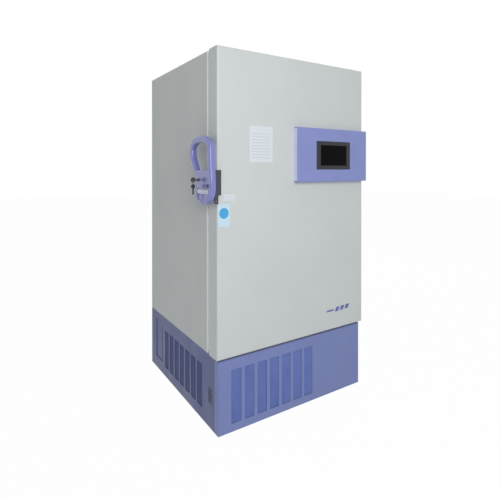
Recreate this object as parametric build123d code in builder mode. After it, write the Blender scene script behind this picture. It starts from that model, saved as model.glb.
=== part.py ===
from build123d import *
import os
from math import cos, radians, sin

# An upright ultra low temperature freezer: an insulated cabinet on a machine compartment.
# The frame stands on the floor in the middle of the footprint: +X is the viewer's right, the door
# faces -Y, and +Z is up. All sizes are millimetres.

os.makedirs("parts", exist_ok=True)

# Overall sizes
total_height = 1980.0
door_width = 1032.0
door_thickness = 90.0
door_left_overlap = 5.0
door_right_overlap = 29.0
cabinet_depth = 848.0
base_height = 398.0
skirt_clearance = 25.0
seal_depth = 28.0
collar_thickness = 7.0
door_bottom_gap = 5.0

# Walls and general clearances
steel = 1.5
snug = 0.2
near = 0.3
running = 0.08
wall = 130.0
liner_thickness = 1.5
shell_corner = 6.0
shell_return = 22.0
cavity_corner = 14.0
cavity_depth = 718.0

# Back of the cabinet
back_border = 95.0
back_field_depth = 8.0
bumper_radius = 16.0
bumper_length = 22.0
bumper_inset = 55.0
port_radius = 12.7
port_flange_radius = 22.0
port_flange = 4.0
port_inset = 290.0
port_height = 1456.0

# Collar round the mouth
lip_thickness = 4.0
lip_depth = 30.0
collar_round = 2.5

# Evaporator coil round the liner
coil_levels = 8
coil_first = 110.0
coil_pitch = 155.0
coil_height = 10.0
coil_depth = 8.0
coil_start = 130.0
coil_header = 12.0

# Shelves and their ledges
shelf_count = 3
ledge_reach = 12.0
ledge_start = 95.0
shelf_thickness = 2.0
shelf_lip = 20.0
shelf_side_gap = 3.0
shelf_back_gap = 25.0
shelf_corner = 6.0

# Inner doors
inner_thickness = 38.0
inner_side_gap = 6.0
inner_front_gap = 3.0
inner_mid_gap = 14.0
inner_end_gap = 15.0
inner_axis_inset = 6.0
inner_pin_radius = 4.0
inner_pin_length = 14.0
inner_bracket = 4.0
inner_bracket_length = 34.0
inner_border = 40.0
inner_field_depth = 4.0
pull_width = 26.0
pull_height = 120.0
pull_depth = 16.0
pull_inset = 12.0

# Outer door
door_sheet = 2.0
door_edge_radius = 8.0
inner_panel_sheet = 3.0
plug_clearance = 20.0
plug_depth = 50.0
plug_draft = 4.0
plug_round = 8.0
seal_inset = 6.0
seal_width = 34.0
seal_flange = 6.0
seal_neck = 7.0
seal_neck_inset = 6.0
seal_corner = 12.0

# Hinges on the right
hinge_count = 3
hinge_end_inset = 160.0
hinge_out = 16.0
hinge_behind_door = 18.0
hinge_barrel_radius = 10.0
hinge_pin_radius = 6.0
hinge_half_height = 41.0
hinge_plate = 6.0
hinge_plate_length = 84.0
hinge_web = 12.0

# Control panel on the door
panel_inset = 484.0
panel_bottom = 1290.0
panel_height = 307.0
panel_proud = 35.0
panel_wall = 3.0
panel_round = 5.0
bezel_inset = 138.0
bezel_bottom = 70.0
bezel_width = 267.0
bezel_height = 164.0
bezel_corner = 4.0
bezel_proud = 1.5
bezel_thickness = 6.0
bezel_flange = 6.0
bezel_ledge = 4.0
screen_width = 205.0
screen_height = 118.0
screen_thickness = 3.0
screen_rise = 1.0
board_width = 230.0
board_height = 136.0
board_thickness = 2.0
board_gap = 8.0
board_post_radius = 4.0
module_thickness = 5.0
cap_height = 27.0
cap_width = 15.0
cap_bottom = 141.0
cap_behind_front = 9.0
cap_flange = 2.5

# Latch lever, parallel to the door's left side
lever_gap = 28.0
lever_thickness = 30.0
lever_lead = 43.0
lever_chin_radius = 93.0
chin_below_pivot = 5.0
crown_shift = 40.0
crown_above_pivot = 180.0
crown_reach = 121.0
crown_rise = 73.0
limb_width = 35.0
window_above_pivot = 78.0
window_corner = 10.0
waist_shift = 115.0
waist_above_pivot = 88.0
lever_outer_round = 9.0
lever_inner_round = 5.0
thumb_width = 126.0
thumb_height = 58.0
thumb_depth = 6.0
thumb_corner = 12.0
thumb_below_pivot = 44.0
scoop_radius = 40.0
scoop_depth = 7.0
scoop_below_pivot = 61.0
inlay_width = 118.0
inlay_height = 22.0
inlay_thickness = 5.5
inlay_below_pivot = 30.0
inlay_corner = 5.0

# Lever bracket and pivot
pivot_ahead = 10.0
pivot_height = 1280.0
pivot_radius = 7.0
pivot_head_radius = 9.5
pivot_head = 3.0
boss_radius = 12.0
bracket_below_pivot = 46.0
bracket_height = 124.0
bracket_ahead = 26.0
bracket_depth = 26.0
bracket_sweep = 92.0
bracket_wrap = 16.0
bracket_wrap_depth = 12.0
bracket_round = 4.0
ear_below_pivot = 90.0
ear_width = 20.0
ear_thickness = 5.0
ear_hole_radius = 5.0
ear_behind_front = 6.0

# Latch hook and striker
pin_from_pivot = 155.0
pin_below_pivot = 18.0
striker_pin_radius = 7.0
striker_plate = 4.0
striker_margin = 14.0
hook_thickness = 12.0
hook_gap = 6.0
hook_pin_gap = 1.0
hook_nose = 16.0
hook_arm = 16.0
hook_root = 118.0
hook_lift = 18.5
hook_corner = 3.0

# Lock, key and hanging key
lock_behind_front = 91.0
lock_above_pivot = 28.0
lock_radius = 11.0
plug_radius = 7.0
key_stand = 44.0
key_blade_height = 8.0
key_blade_thickness = 2.4
bow_radius = 13.0
bow_thickness = 3.0
bow_hole_radius = 2.6
bow_hole_drop = 7.5
tongue_reach = 22.0
tongue_width = 8.0
tongue_thickness = 4.0
tongue_gap = 22.0
slot_depth = 13.0
slot_below = 12.0
slot_above = 11.0
ring_radius = 8.0
ring_wire = 0.9
ring_rest = 0.2
spare_bow_radius = 11.0
spare_blade_length = 30.0

# Base: front grille
grille_return = 43.0
seam_gap = 3.0
grille_corner = 5.0
grille_flange = 12.0
grille_top_gap = 1.0
slot_count = 7
slot_width = 60.0
slot_pitch = 80.0
slot_corner = 4.0
front_slot_inset = 76.0
front_slot_bottom = 66.0
front_slot_height = 275.0
filter_margin = 11.0
filter_thickness = 8.0
filter_rim = 12.0
filter_cell_depth = 3.0
butt_height = 50.0
butt_inset = 70.0
butt_leaf = 2.0
butt_leaf_width = 28.0
butt_radius = 4.0
butt_pin_radius = 2.0

# Base: sides and rear
side_slot_start = 183.0
side_slot_bottom = 85.0
side_slot_height = 235.0
side_field_start = 768.0
side_field_width = 119.0
side_field_bottom = 97.0
side_field_height = 256.0
side_field_depth = 6.0
side_flange = 14.0
side_return = 6.0
switch_start = 73.0
switch_width = 35.0
switch_bottom = 150.0
switch_height = 82.0
rear_slot_rows = 7
rear_slot_columns = 2
rear_slot_width = 340.0
rear_slot_height = 12.0
rear_slot_pitch = 30.0
rear_bottom = 96.0
gland_inset = 120.0
gland_height = 350.0
gland_radius = 14.0
gland_bore = 6.5
gland_length = 18.0
screw_radius = 5.0
screw_height = 2.4
screw_dish = 1.2

# Switch plate and rockers
switch_proud = 1.5
switch_body = 22.0
switch_rim = 2.5
rocker_width = 20.0
rocker_half = 13.0
rocker_gap = 1.0
rocker_pitch = 36.0
rocker_face = 4.5
rocker_valley = 2.5
rocker_back = 9.0
rocker_back_half = 6.0
rocker_tilt = 8.0
rocker_pin_radius = 1.6
rocker_pin_length = 1.5
rocker_depth = 3.0

# Base frame
pan_height = 76.0
pan_thickness = 3.0
pan_flange = 40.0
frame_front_gap = 16.0
frame_side_gap = 8.0
post_size = 40.0
top_plate = 3.0
top_flange = 34.0

# Casters and levelling feet
caster_inset = 110.0
caster_front = 115.0
caster_rear = 85.0
caster_plate = 6.0
caster_plate_size = 84.0
kingpin_radius = 5.0
kingpin_recess = 0.5
caster_trail = 20.0
wheel_radius = 25.0
wheel_width = 26.0
wheel_hub_recess = 3.0
wheel_hub_radius = 11.0
axle_radius = 4.0
fork_thickness = 3.0
fork_gap = 1.5
fork_crown_radius = 22.0
fork_crown = 5.0
foot_inset = 45.0
foot_front = 75.0
foot_radius = 20.0
foot_height = 12.0
foot_neck_radius = 8.0
foot_stud_radius = 5.0
foot_stud_top = 24.0

# Machinery
condenser_inset = 72.0
condenser_front = 62.0
condenser_side_gap = 66.0
condenser_depth = 60.0
condenser_headroom = 51.0
fin_pitch = 18.0
fin_slot = 10.0
fin_slot_depth = 22.0
condenser_end = 20.0
fan_margin = 24.0
fan_ring_gap = 5.0
fan_ring_wall = 3.0
fan_plate = 3.0
fan_ring_depth = 46.0
fan_blades_count = 5
fan_hub_radius = 26.0
fan_hub_depth = 24.0
fan_blade_thickness = 3.0
fan_root_width = 28.0
fan_root_pitch = 50.0
fan_tip_width = 50.0
fan_tip_pitch = 26.0
fan_shaft_radius = 4.0
motor_radius = 38.0
motor_length = 58.0
motor_gap = 8.0
spider_arms = 3
spider_width = 12.0
spider_thickness = 4.0
compressor_radius = 105.0
compressor_headroom = 81.0
compressor_round = 45.0
compressor_foot = 4.0
compressor_foot_size = 230.0
compressor_inset = 300.0
compressor_first = 420.0
compressor_second = 735.0
stub_radius = 9.0
stub_top = 262.0
stub_out = 40.0
exchanger_inset = 700.0
exchanger_front = 735.0
exchanger_width = 150.0
exchanger_depth = 110.0
exchanger_headroom = 79.0
exchanger_ribs = 5
separator_inset = 620.0
separator_front = 420.0
separator_radius = 36.0
separator_headroom = 94.0
line_radius = 6.0
line_bend = 16.0
line_rise = 30.0
box_inset = 70.0
box_front = 75.0
box_width = 250.0
box_depth = 130.0
box_headroom = 69.0
box_lid = 10.0
box_lid_margin = 4.0

# Places that follow from the sizes above
key_reach = lever_gap + lever_thickness + key_stand
total_depth = lever_lead + door_thickness + seal_depth + collar_thickness + cabinet_depth + bumper_length
door_left = (key_reach - door_width) / 2
door_right = door_left + door_width
door_front = lever_lead - total_depth / 2
door_back = door_front + door_thickness
door_bottom = base_height + door_bottom_gap
collar_front = door_back + seal_depth
cabinet_front = collar_front + collar_thickness
cabinet_back = cabinet_front + cabinet_depth
cabinet_left = door_left + door_left_overlap
cabinet_right = door_right - door_right_overlap
cabinet_middle = (cabinet_left + cabinet_right) / 2
cavity_left = cabinet_left + wall
cavity_right = cabinet_right - wall
cavity_bottom = base_height + wall
cavity_top = total_height - wall
cavity_back = cabinet_front + cavity_depth
mouth_left = cavity_left + lip_thickness
mouth_right = cavity_right - lip_thickness
mouth_bottom = cavity_bottom + lip_thickness
mouth_top = cavity_top - lip_thickness
mouth_corner = cavity_corner - lip_thickness
lever_chin_height = pivot_height - chin_below_pivot
crown_height = pivot_height + crown_above_pivot
window_bottom = pivot_height + window_above_pivot
waist_height = pivot_height + waist_above_pivot
thumb_centre_height = pivot_height - thumb_below_pivot
scoop_height = pivot_height - scoop_below_pivot
inlay_height_at = pivot_height - inlay_below_pivot
bracket_bottom = pivot_height - bracket_below_pivot
ear_bottom = pivot_height - ear_below_pivot
lock_height = pivot_height + lock_above_pivot
room_height = base_height - pan_height - pan_thickness
condenser_height = room_height - condenser_headroom
compressor_height = room_height - compressor_headroom
exchanger_height = room_height - exchanger_headroom
separator_height = room_height - separator_headroom
box_height = room_height - box_headroom
fan_radius = condenser_height / 2 - fan_margin
condenser_width = (
    cabinet_right - cabinet_left - condenser_inset - condenser_side_gap - box_inset - box_width
)


def facing_front(y):
    """A sketch plane at depth y: across is X, up is Z, and a positive extrusion comes forward."""
    return Plane(origin=(0, y, 0), x_dir=(1, 0, 0), z_dir=(0, -1, 0))


def facing_side(x):
    """A sketch plane at x: across is Y, up is Z, and a positive extrusion goes to the right."""
    return Plane.YZ.offset(x)


def span(low_across, high_across, low_up, high_up, corner=0.0, mode=Mode.ADD):
    """Add a rectangle to the open sketch by its edges, with rounded corners where a radius is given."""
    with Locations(((low_across + high_across) / 2, (low_up + high_up) / 2)):
        if corner > 0:
            RectangleRounded(high_across - low_across, high_up - low_up, corner, mode=mode)
        else:
            Rectangle(high_across - low_across, high_up - low_up, mode=mode)


def cabinet_outline(inset, corner, mode=Mode.ADD):
    """The cabinet's front outline, drawn in by an inset."""
    span(
        cabinet_left + inset, cabinet_right - inset,
        base_height + inset, total_height - inset, corner, mode,
    )


def cavity_outline(grow, corner, mode=Mode.ADD):
    """The cavity's front outline, grown outward into the wall."""
    span(
        cavity_left - grow, cavity_right + grow,
        cavity_bottom - grow, cavity_top + grow, corner, mode,
    )


def door_outline(inset, corner=0.0, mode=Mode.ADD):
    """The outer door's front outline, drawn in by an inset."""
    span(
        door_left + inset, door_right - inset,
        door_bottom + inset, total_height - inset, corner, mode,
    )


def back_field(grow):
    """The pressed field in the middle of the back panel."""
    span(
        cabinet_left + back_border - grow, cabinet_right - back_border + grow,
        base_height + back_border - grow, total_height - back_border + grow,
    )


# Cabinet shell: a folded steel wrap with a return round its front
with BuildPart() as cabinet_shell:
    with BuildSketch(facing_front(cabinet_front)):
        cabinet_outline(0, shell_corner)
        cabinet_outline(steel, shell_corner - steel, mode=Mode.SUBTRACT)
    extrude(amount=-cabinet_depth)
    with BuildSketch(facing_front(cabinet_front)):
        cabinet_outline(0, shell_corner)
        cabinet_outline(shell_return, 0, mode=Mode.SUBTRACT)
    extrude(amount=-steel)
cabinet_shell.part.label = "cabinet_shell"
export_step(cabinet_shell.part, "parts/cabinet_shell.step")

# Back panel: a sheet inside the wrap, with its middle pressed in to stiffen it
port_x = cabinet_right - port_inset
with BuildPart() as cabinet_back_panel:
    with BuildSketch(facing_front(cabinet_back)):
        cabinet_outline(steel + snug, shell_corner - steel)
    extrude(amount=steel)
    with BuildSketch(facing_front(cabinet_back)):
        back_field(steel)
    extrude(amount=back_field_depth)
    with BuildSketch(facing_front(cabinet_back)):
        back_field(0)
    extrude(amount=back_field_depth - steel, mode=Mode.SUBTRACT)
    with BuildSketch(facing_front(cabinet_back)):
        with Locations((port_x, port_height)):
            Circle(port_radius + snug)
    extrude(amount=back_field_depth, mode=Mode.SUBTRACT)
cabinet_back_panel.part.label = "cabinet_back_panel"
export_step(cabinet_back_panel.part, "parts/cabinet_back_panel.step")


def coil_loop(grow):
    """One turn of the coil seen from above: along the left wall, across the back and along the right."""
    hug = liner_thickness + snug
    rear = cavity_back + hug + coil_depth + grow
    front = cabinet_front + coil_start - grow
    span(
        cavity_left - hug - coil_depth - grow, cavity_right + hug + coil_depth + grow, front, rear,
    )
    span(cavity_left - hug, cavity_right + hug, front, cavity_back + hug, mode=Mode.SUBTRACT)


def coil_body(grow):
    """The evaporator: flat channels round the liner, joined at their front ends by two headers."""
    hug = liner_thickness + snug
    lowest = cavity_bottom + coil_first
    highest = lowest + (coil_levels - 1) * coil_pitch + coil_height
    header_front = cabinet_front + coil_start - grow
    with BuildPart() as coil:
        for level in range(coil_levels):
            with BuildSketch(Plane.XY.offset(lowest + level * coil_pitch - grow)):
                coil_loop(grow)
            extrude(amount=coil_height + 2 * grow)
        with BuildSketch(Plane.XY.offset(lowest - grow)):
            span(
                cavity_left - hug - coil_depth - grow, cavity_left - hug,
                header_front, header_front + coil_header + 2 * grow,
            )
            span(
                cavity_right + hug, cavity_right + hug + coil_depth + grow,
                header_front, header_front + coil_header + 2 * grow,
            )
        extrude(amount=highest - lowest + 2 * grow)
    return coil.part


evaporator_coil = coil_body(0.0)
evaporator_coil.label = "evaporator_coil"
export_step(evaporator_coil, "parts/evaporator_coil.step")

# Foam of the cabinet, poured between wrap, liner and back panel
with BuildPart() as cabinet_foam:
    with BuildSketch(facing_front(cabinet_front + steel)):
        cabinet_outline(steel + snug, shell_corner - steel)
    extrude(amount=-(cabinet_depth - 2 * steel))
    with BuildSketch(facing_front(cabinet_front)):
        cavity_outline(liner_thickness + snug, cavity_corner + liner_thickness)
    extrude(amount=-(cavity_depth + liner_thickness), mode=Mode.SUBTRACT)
    with BuildSketch(facing_front(cabinet_back)):
        back_field(steel + snug)
    extrude(amount=back_field_depth, mode=Mode.SUBTRACT)
    add(coil_body(snug), mode=Mode.SUBTRACT)
    with BuildSketch(facing_front(cabinet_back)):
        with Locations((port_x, port_height)):
            Circle(port_radius + snug)
    extrude(amount=wall, mode=Mode.SUBTRACT)
cabinet_foam.part.label = "cabinet_foam"
export_step(cabinet_foam.part, "parts/cabinet_foam.step")

# Inner liner: a deep tub with a front flange, and ledges pressed into its walls for the shelves
shelf_pitch = (cavity_top - cavity_bottom) / (shelf_count + 1)
shelf_heights = [cavity_bottom + shelf_pitch * (number + 1) for number in range(shelf_count)]
ledge_front = cabinet_front + ledge_start
ledge_back = cavity_back - shelf_back_gap
with BuildPart() as inner_liner:
    with BuildSketch(facing_front(cabinet_front)):
        cavity_outline(liner_thickness, cavity_corner + liner_thickness)
    extrude(amount=-(cavity_depth + liner_thickness))
    with BuildSketch(facing_front(cabinet_front)):
        cabinet_outline(shell_return + snug, 0)
    extrude(amount=-steel)
    with BuildSketch(facing_front(cabinet_front)):
        cavity_outline(0, cavity_corner)
    extrude(amount=-cavity_depth, mode=Mode.SUBTRACT)
    for height in shelf_heights:
        with BuildSketch(facing_front(ledge_front)):
            with BuildLine():
                Polyline(
                    (cavity_left, height), (cavity_left + ledge_reach, height),
                    (cavity_left, height - 2 * ledge_reach), close=True,
                )
            make_face()
            with BuildLine():
                Polyline(
                    (cavity_right, height), (cavity_right - ledge_reach, height),
                    (cavity_right, height - 2 * ledge_reach), close=True,
                )
            make_face()
        extrude(amount=-(ledge_back - ledge_front))
    with BuildSketch(facing_front(cavity_back + liner_thickness)):
        with Locations((port_x, port_height)):
            Circle(port_radius + snug)
    extrude(amount=liner_thickness, mode=Mode.SUBTRACT)
inner_liner.part.label = "inner_liner"
export_step(inner_liner.part, "parts/inner_liner.step")

# Shelves: sheet trays turned down at the front and the back, resting on the ledges
with BuildPart() as shelves:
    for height in shelf_heights:
        with BuildSketch(facing_side(cavity_left + shelf_side_gap)):
            span(ledge_front, ledge_back, height - shelf_lip, height + shelf_thickness)
            span(
                ledge_front + shelf_thickness, ledge_back - shelf_thickness,
                height - shelf_lip, height, mode=Mode.SUBTRACT,
            )
        extrude(amount=cavity_right - cavity_left - 2 * shelf_side_gap)
    for height in shelf_heights:
        for side in (cavity_left, cavity_right - ledge_reach - shelf_corner):
            with BuildSketch(facing_front(ledge_front)):
                span(side, side + ledge_reach + shelf_corner, height - shelf_lip, height)
            extrude(amount=-shelf_thickness, mode=Mode.SUBTRACT)
            with BuildSketch(facing_front(ledge_back)):
                span(side, side + ledge_reach + shelf_corner, height - shelf_lip, height)
            extrude(amount=shelf_thickness, mode=Mode.SUBTRACT)
shelves.part.label = "shelves"
export_step(shelves.part, "parts/shelves.step")

# Collar: the plastic frame between wrap and liner that the door seal closes on
with BuildPart() as breaker_collar:
    with BuildSketch(facing_front(collar_front)):
        cabinet_outline(0, shell_corner)
        cavity_outline(-lip_thickness, mouth_corner, mode=Mode.SUBTRACT)
    extrude(amount=-collar_thickness)
    fillet(breaker_collar.faces().sort_by(Axis.Y)[0].edges(), radius=collar_round)
    with BuildSketch(facing_front(cabinet_front)):
        cavity_outline(-snug, cavity_corner)
        cavity_outline(-lip_thickness, mouth_corner, mode=Mode.SUBTRACT)
    extrude(amount=-lip_depth)
breaker_collar.part.label = "breaker_collar"
export_step(breaker_collar.part, "parts/breaker_collar.step")

# Inner doors: two foamed panels behind the collar's lip, hinged on pins at the right
inner_front = cabinet_front + lip_depth + inner_front_gap
inner_left = mouth_left + inner_side_gap
inner_right = mouth_right - inner_side_gap
inner_axis_x = inner_right - inner_axis_inset
inner_axis_y = inner_front + inner_axis_inset
inner_low = mouth_bottom + inner_end_gap
inner_high = mouth_top - inner_end_gap
inner_middle = (inner_low + inner_high) / 2
inner_doors = {
    "inner_door_lower": (inner_low, inner_middle - inner_mid_gap / 2),
    "inner_door_upper": (inner_middle + inner_mid_gap / 2, inner_high),
}
for name, (bottom, top) in inner_doors.items():
    with BuildPart() as inner_door:
        with BuildSketch(facing_front(inner_front)):
            span(inner_left, inner_right, bottom, top)
        extrude(amount=-inner_thickness)
        fillet(inner_door.edges().filter_by(Axis.Y), radius=4)
        chamfer(inner_door.faces().sort_by(Axis.Y)[0].edges(), length=2)
        with BuildSketch(facing_front(inner_front)):
            span(
                inner_left + inner_border, inner_right - inner_border,
                bottom + inner_border, top - inner_border, 12,
            )
        extrude(amount=-inner_field_depth, mode=Mode.SUBTRACT)
        with BuildSketch(facing_front(inner_front)):
            span(
                inner_left + pull_inset, inner_left + pull_inset + pull_width,
                (bottom + top - pull_height) / 2, (bottom + top + pull_height) / 2, 8,
            )
        extrude(amount=-pull_depth, mode=Mode.SUBTRACT)
        for end in (bottom, top - inner_pin_length):
            with BuildSketch(Plane.XY.offset(end)):
                with Locations((inner_axis_x, inner_axis_y)):
                    Circle(inner_pin_radius + running)
            extrude(amount=inner_pin_length, mode=Mode.SUBTRACT)
    inner_door.part.label = name
    export_step(inner_door.part, f"parts/{name}.step")

# Brackets of the inner doors: plates from the liner's wall with the pins that the doors turn on
bracket_places = [
    (inner_low - inner_bracket - near, False, True),
    (inner_middle - inner_bracket / 2, True, True),
    (inner_high + near, True, False),
]
with BuildPart() as inner_hinge_brackets:
    for height, pin_below, pin_above in bracket_places:
        with BuildSketch(Plane.XY.offset(height)):
            span(
                inner_axis_x - inner_axis_inset, cavity_right,
                inner_front, inner_front + inner_bracket_length, 3,
            )
        extrude(amount=inner_bracket)
        reach = inner_bracket + inner_pin_length
        gap_to_door = (inner_mid_gap - inner_bracket) / 2 if pin_below and pin_above else 0
        low = height - inner_pin_length - gap_to_door + 2 if pin_below else height
        high = height + reach + gap_to_door - 2 if pin_above else height + inner_bracket
        with BuildSketch(Plane.XY.offset(low)):
            with Locations((inner_axis_x, inner_axis_y)):
                Circle(inner_pin_radius)
        extrude(amount=high - low)
inner_hinge_brackets.part.label = "inner_hinge_brackets"
export_step(inner_hinge_brackets.part, "parts/inner_hinge_brackets.step")

# Access port: a flanged sleeve with its stopper, through the back wall
port_outside = cabinet_back - back_field_depth + steel
with BuildPart() as access_port:
    with BuildSketch(facing_front(port_outside)):
        with Locations((port_x, port_height)):
            Circle(port_radius)
    extrude(amount=port_outside - cavity_back)
    for face, depth in ((port_outside, -port_flange), (cavity_back, port_flange)):
        with BuildSketch(facing_front(face)):
            with Locations((port_x, port_height)):
                Circle(port_flange_radius)
        extrude(amount=depth)
    chamfer(access_port.faces().filter_by(Axis.Y).sort_by(Axis.Y)[-1].edges(), length=1.5)
access_port.part.label = "access_port"
export_step(access_port.part, "parts/access_port.step")

# Wall bumpers: rubber cones that hold the back off the wall
with BuildPart() as wall_bumpers:
    with BuildSketch(facing_front(cabinet_back)):
        for x in (cabinet_left + bumper_inset, cabinet_right - bumper_inset):
            for z in (base_height + bumper_inset, total_height - bumper_inset):
                with Locations((x, z)):
                    Circle(bumper_radius)
    extrude(amount=-bumper_length, taper=12)
wall_bumpers.part.label = "wall_bumpers"
export_step(wall_bumpers.part, "parts/wall_bumpers.step")

# Outer door: steel pan, foam, inner panel with its plug
def door_body(inset, behind):
    """The door's block with its rounded front, drawn in on all sides and starting behind its back plane."""
    with BuildPart() as block:
        with BuildSketch(facing_front(door_back - behind)):
            door_outline(inset)
        extrude(amount=door_thickness - inset - behind)
        fillet(block.faces().sort_by(Axis.Y)[0].edges(), radius=door_edge_radius - inset)
    return block.part


with BuildPart() as door_skin:
    add(door_body(0.0, 0.0))
    add(door_body(door_sheet, 0.0), mode=Mode.SUBTRACT)
door_skin.part.label = "door_skin"
export_step(door_skin.part, "parts/door_skin.step")


def plug_body(shrink):
    """The plug on the door's inner panel, drawn in by a sheet's thickness."""
    with BuildPart() as plug:
        with BuildSketch(facing_front(door_back)):
            span(
                mouth_left + plug_clearance + shrink, mouth_right - plug_clearance - shrink,
                mouth_bottom + plug_clearance + shrink, mouth_top - plug_clearance - shrink,
                mouth_corner,
            )
        extrude(amount=-(plug_depth - shrink), taper=plug_draft)
        fillet(plug.faces().sort_by(Axis.Y)[-1].edges(), radius=plug_round - shrink)
    return plug.part


with BuildPart() as door_inner_panel:
    with BuildSketch(facing_front(door_back)):
        door_outline(door_sheet + snug)
    extrude(amount=inner_panel_sheet)
    add(plug_body(0.0))
    with BuildSketch(facing_front(door_back)):
        span(
            mouth_left + plug_clearance + inner_panel_sheet,
            mouth_right - plug_clearance - inner_panel_sheet,
            mouth_bottom + plug_clearance + inner_panel_sheet,
            mouth_top - plug_clearance - inner_panel_sheet, mouth_corner,
        )
    extrude(amount=inner_panel_sheet, mode=Mode.SUBTRACT)
    add(plug_body(inner_panel_sheet), mode=Mode.SUBTRACT)
door_inner_panel.part.label = "door_inner_panel"
export_step(door_inner_panel.part, "parts/door_inner_panel.step")

with BuildPart() as door_foam:
    add(door_body(door_sheet + snug, inner_panel_sheet))
door_foam.part.label = "door_foam"
export_step(door_foam.part, "parts/door_foam.step")

# Door seal: a ring with a clipped flange, a narrow neck and a soft bulb that meets the collar
with BuildPart() as door_seal:
    rings = (
        (0.0, 0.0, seal_flange),
        (seal_neck_inset, seal_flange, seal_neck),
        (0.0, seal_flange + seal_neck, seal_depth - near - seal_flange - seal_neck),
    )
    for inset, behind, depth in rings:
        with BuildSketch(facing_front(door_back + behind)):
            cabinet_outline(seal_inset + inset, seal_corner)
            cabinet_outline(seal_inset + seal_width - inset, seal_corner, mode=Mode.SUBTRACT)
        extrude(amount=-depth)
    fillet(door_seal.faces().sort_by(Axis.Y)[-1].edges(), radius=3)
door_seal.part.label = "door_seal"
export_step(door_seal.part, "parts/door_seal.step")

# Outer hinges: brackets with fixed pins on the cabinet, leaves with barrels on the door
hinge_x = cabinet_right + hinge_out
hinge_y = door_back + hinge_behind_door
hinge_low = base_height + hinge_end_inset
hinge_step = (total_height - hinge_end_inset - hinge_low) / (hinge_count - 1)
hinge_heights = [hinge_low + hinge_step * number for number in range(hinge_count)]
with BuildPart() as hinge_brackets:
    for height in hinge_heights:
        with BuildSketch(facing_side(cabinet_right)):
            span(
                cabinet_front + collar_thickness, cabinet_front + hinge_plate_length,
                height - hinge_half_height, height + hinge_half_height, 5,
            )
            span(hinge_y, cabinet_front + hinge_plate_length / 2, height - hinge_half_height, height)
        extrude(amount=hinge_plate)
        with BuildSketch(Plane.XY.offset(height - hinge_half_height)):
            with Locations((hinge_x, hinge_y)):
                Circle(hinge_barrel_radius)
            span(cabinet_right, hinge_x, hinge_y - hinge_web / 2, hinge_y + hinge_web / 2)
        extrude(amount=hinge_half_height)
        with BuildSketch(Plane.XY.offset(height)):
            with Locations((hinge_x, hinge_y)):
                Circle(hinge_pin_radius)
        extrude(amount=hinge_half_height)
hinge_brackets.part.label = "hinge_brackets"
export_step(hinge_brackets.part, "parts/hinge_brackets.step")

with BuildPart() as hinge_leaves:
    for height in hinge_heights:
        with BuildSketch(facing_front(door_back)):
            span(
                cabinet_right + 2, door_right - 1,
                height - hinge_half_height, height + hinge_half_height, 3,
            )
        extrude(amount=-hinge_plate)
        with BuildSketch(Plane.XY.offset(height + near)):
            with Locations((hinge_x, hinge_y)):
                Circle(hinge_barrel_radius)
            span(hinge_x - hinge_web / 2, hinge_x + hinge_web / 2, door_back, hinge_y)
        extrude(amount=hinge_half_height - near)
        with BuildSketch(Plane.XY.offset(height)):
            with Locations((hinge_x, hinge_y)):
                Circle(hinge_pin_radius + running)
        extrude(amount=hinge_half_height, mode=Mode.SUBTRACT)
hinge_leaves.part.label = "hinge_leaves"
export_step(hinge_leaves.part, "parts/hinge_leaves.step")

# Control panel housing: a moulded box on the door, with a window and a small side opening
panel_left = door_left + panel_inset
panel_top = panel_bottom + panel_height
panel_front = door_front - panel_proud
bezel_left = panel_left + bezel_inset
bezel_low = panel_bottom + bezel_bottom
bezel_middle = (bezel_left + bezel_width / 2, bezel_low + bezel_height / 2)
cap_y = panel_front + cap_behind_front
cap_z = panel_bottom + cap_bottom
with BuildPart() as control_housing:
    with BuildSketch(facing_front(door_front)):
        span(panel_left, door_right, panel_bottom, panel_top)
    extrude(amount=panel_proud)
    fillet(control_housing.edges().filter_by(Axis.Y), radius=panel_round)
    fillet(control_housing.faces().sort_by(Axis.Y)[0].edges(), radius=panel_round - 1)
    with BuildSketch(facing_front(door_front)):
        span(
            panel_left + panel_wall, door_right - panel_wall,
            panel_bottom + panel_wall, panel_top - panel_wall, panel_round - panel_wall,
        )
    extrude(amount=panel_proud - panel_wall, mode=Mode.SUBTRACT)
    with BuildSketch(facing_front(panel_front)):
        with Locations(bezel_middle):
            RectangleRounded(bezel_width, bezel_height, bezel_corner)
    extrude(amount=-panel_wall, mode=Mode.SUBTRACT)
    with BuildSketch(facing_side(panel_left)):
        span(cap_y, cap_y + cap_width, cap_z, cap_z + cap_height, 3)
    extrude(amount=panel_wall, mode=Mode.SUBTRACT)
control_housing.part.label = "control_housing"
export_step(control_housing.part, "parts/control_housing.step")

with BuildPart() as port_cap:
    with BuildSketch(facing_side(panel_left + bezel_proud)):
        span(cap_y + snug, cap_y + cap_width - snug, cap_z + snug, cap_z + cap_height - snug, 3 - snug)
    extrude(amount=panel_wall - bezel_proud)
    with BuildSketch(facing_side(panel_left + panel_wall)):
        span(
            cap_y - cap_flange, cap_y + cap_width + cap_flange,
            cap_z - cap_flange, cap_z + cap_height + cap_flange, 3,
        )
    extrude(amount=cap_flange)
port_cap.part.label = "port_cap"
export_step(port_cap.part, "parts/port_cap.step")

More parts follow.
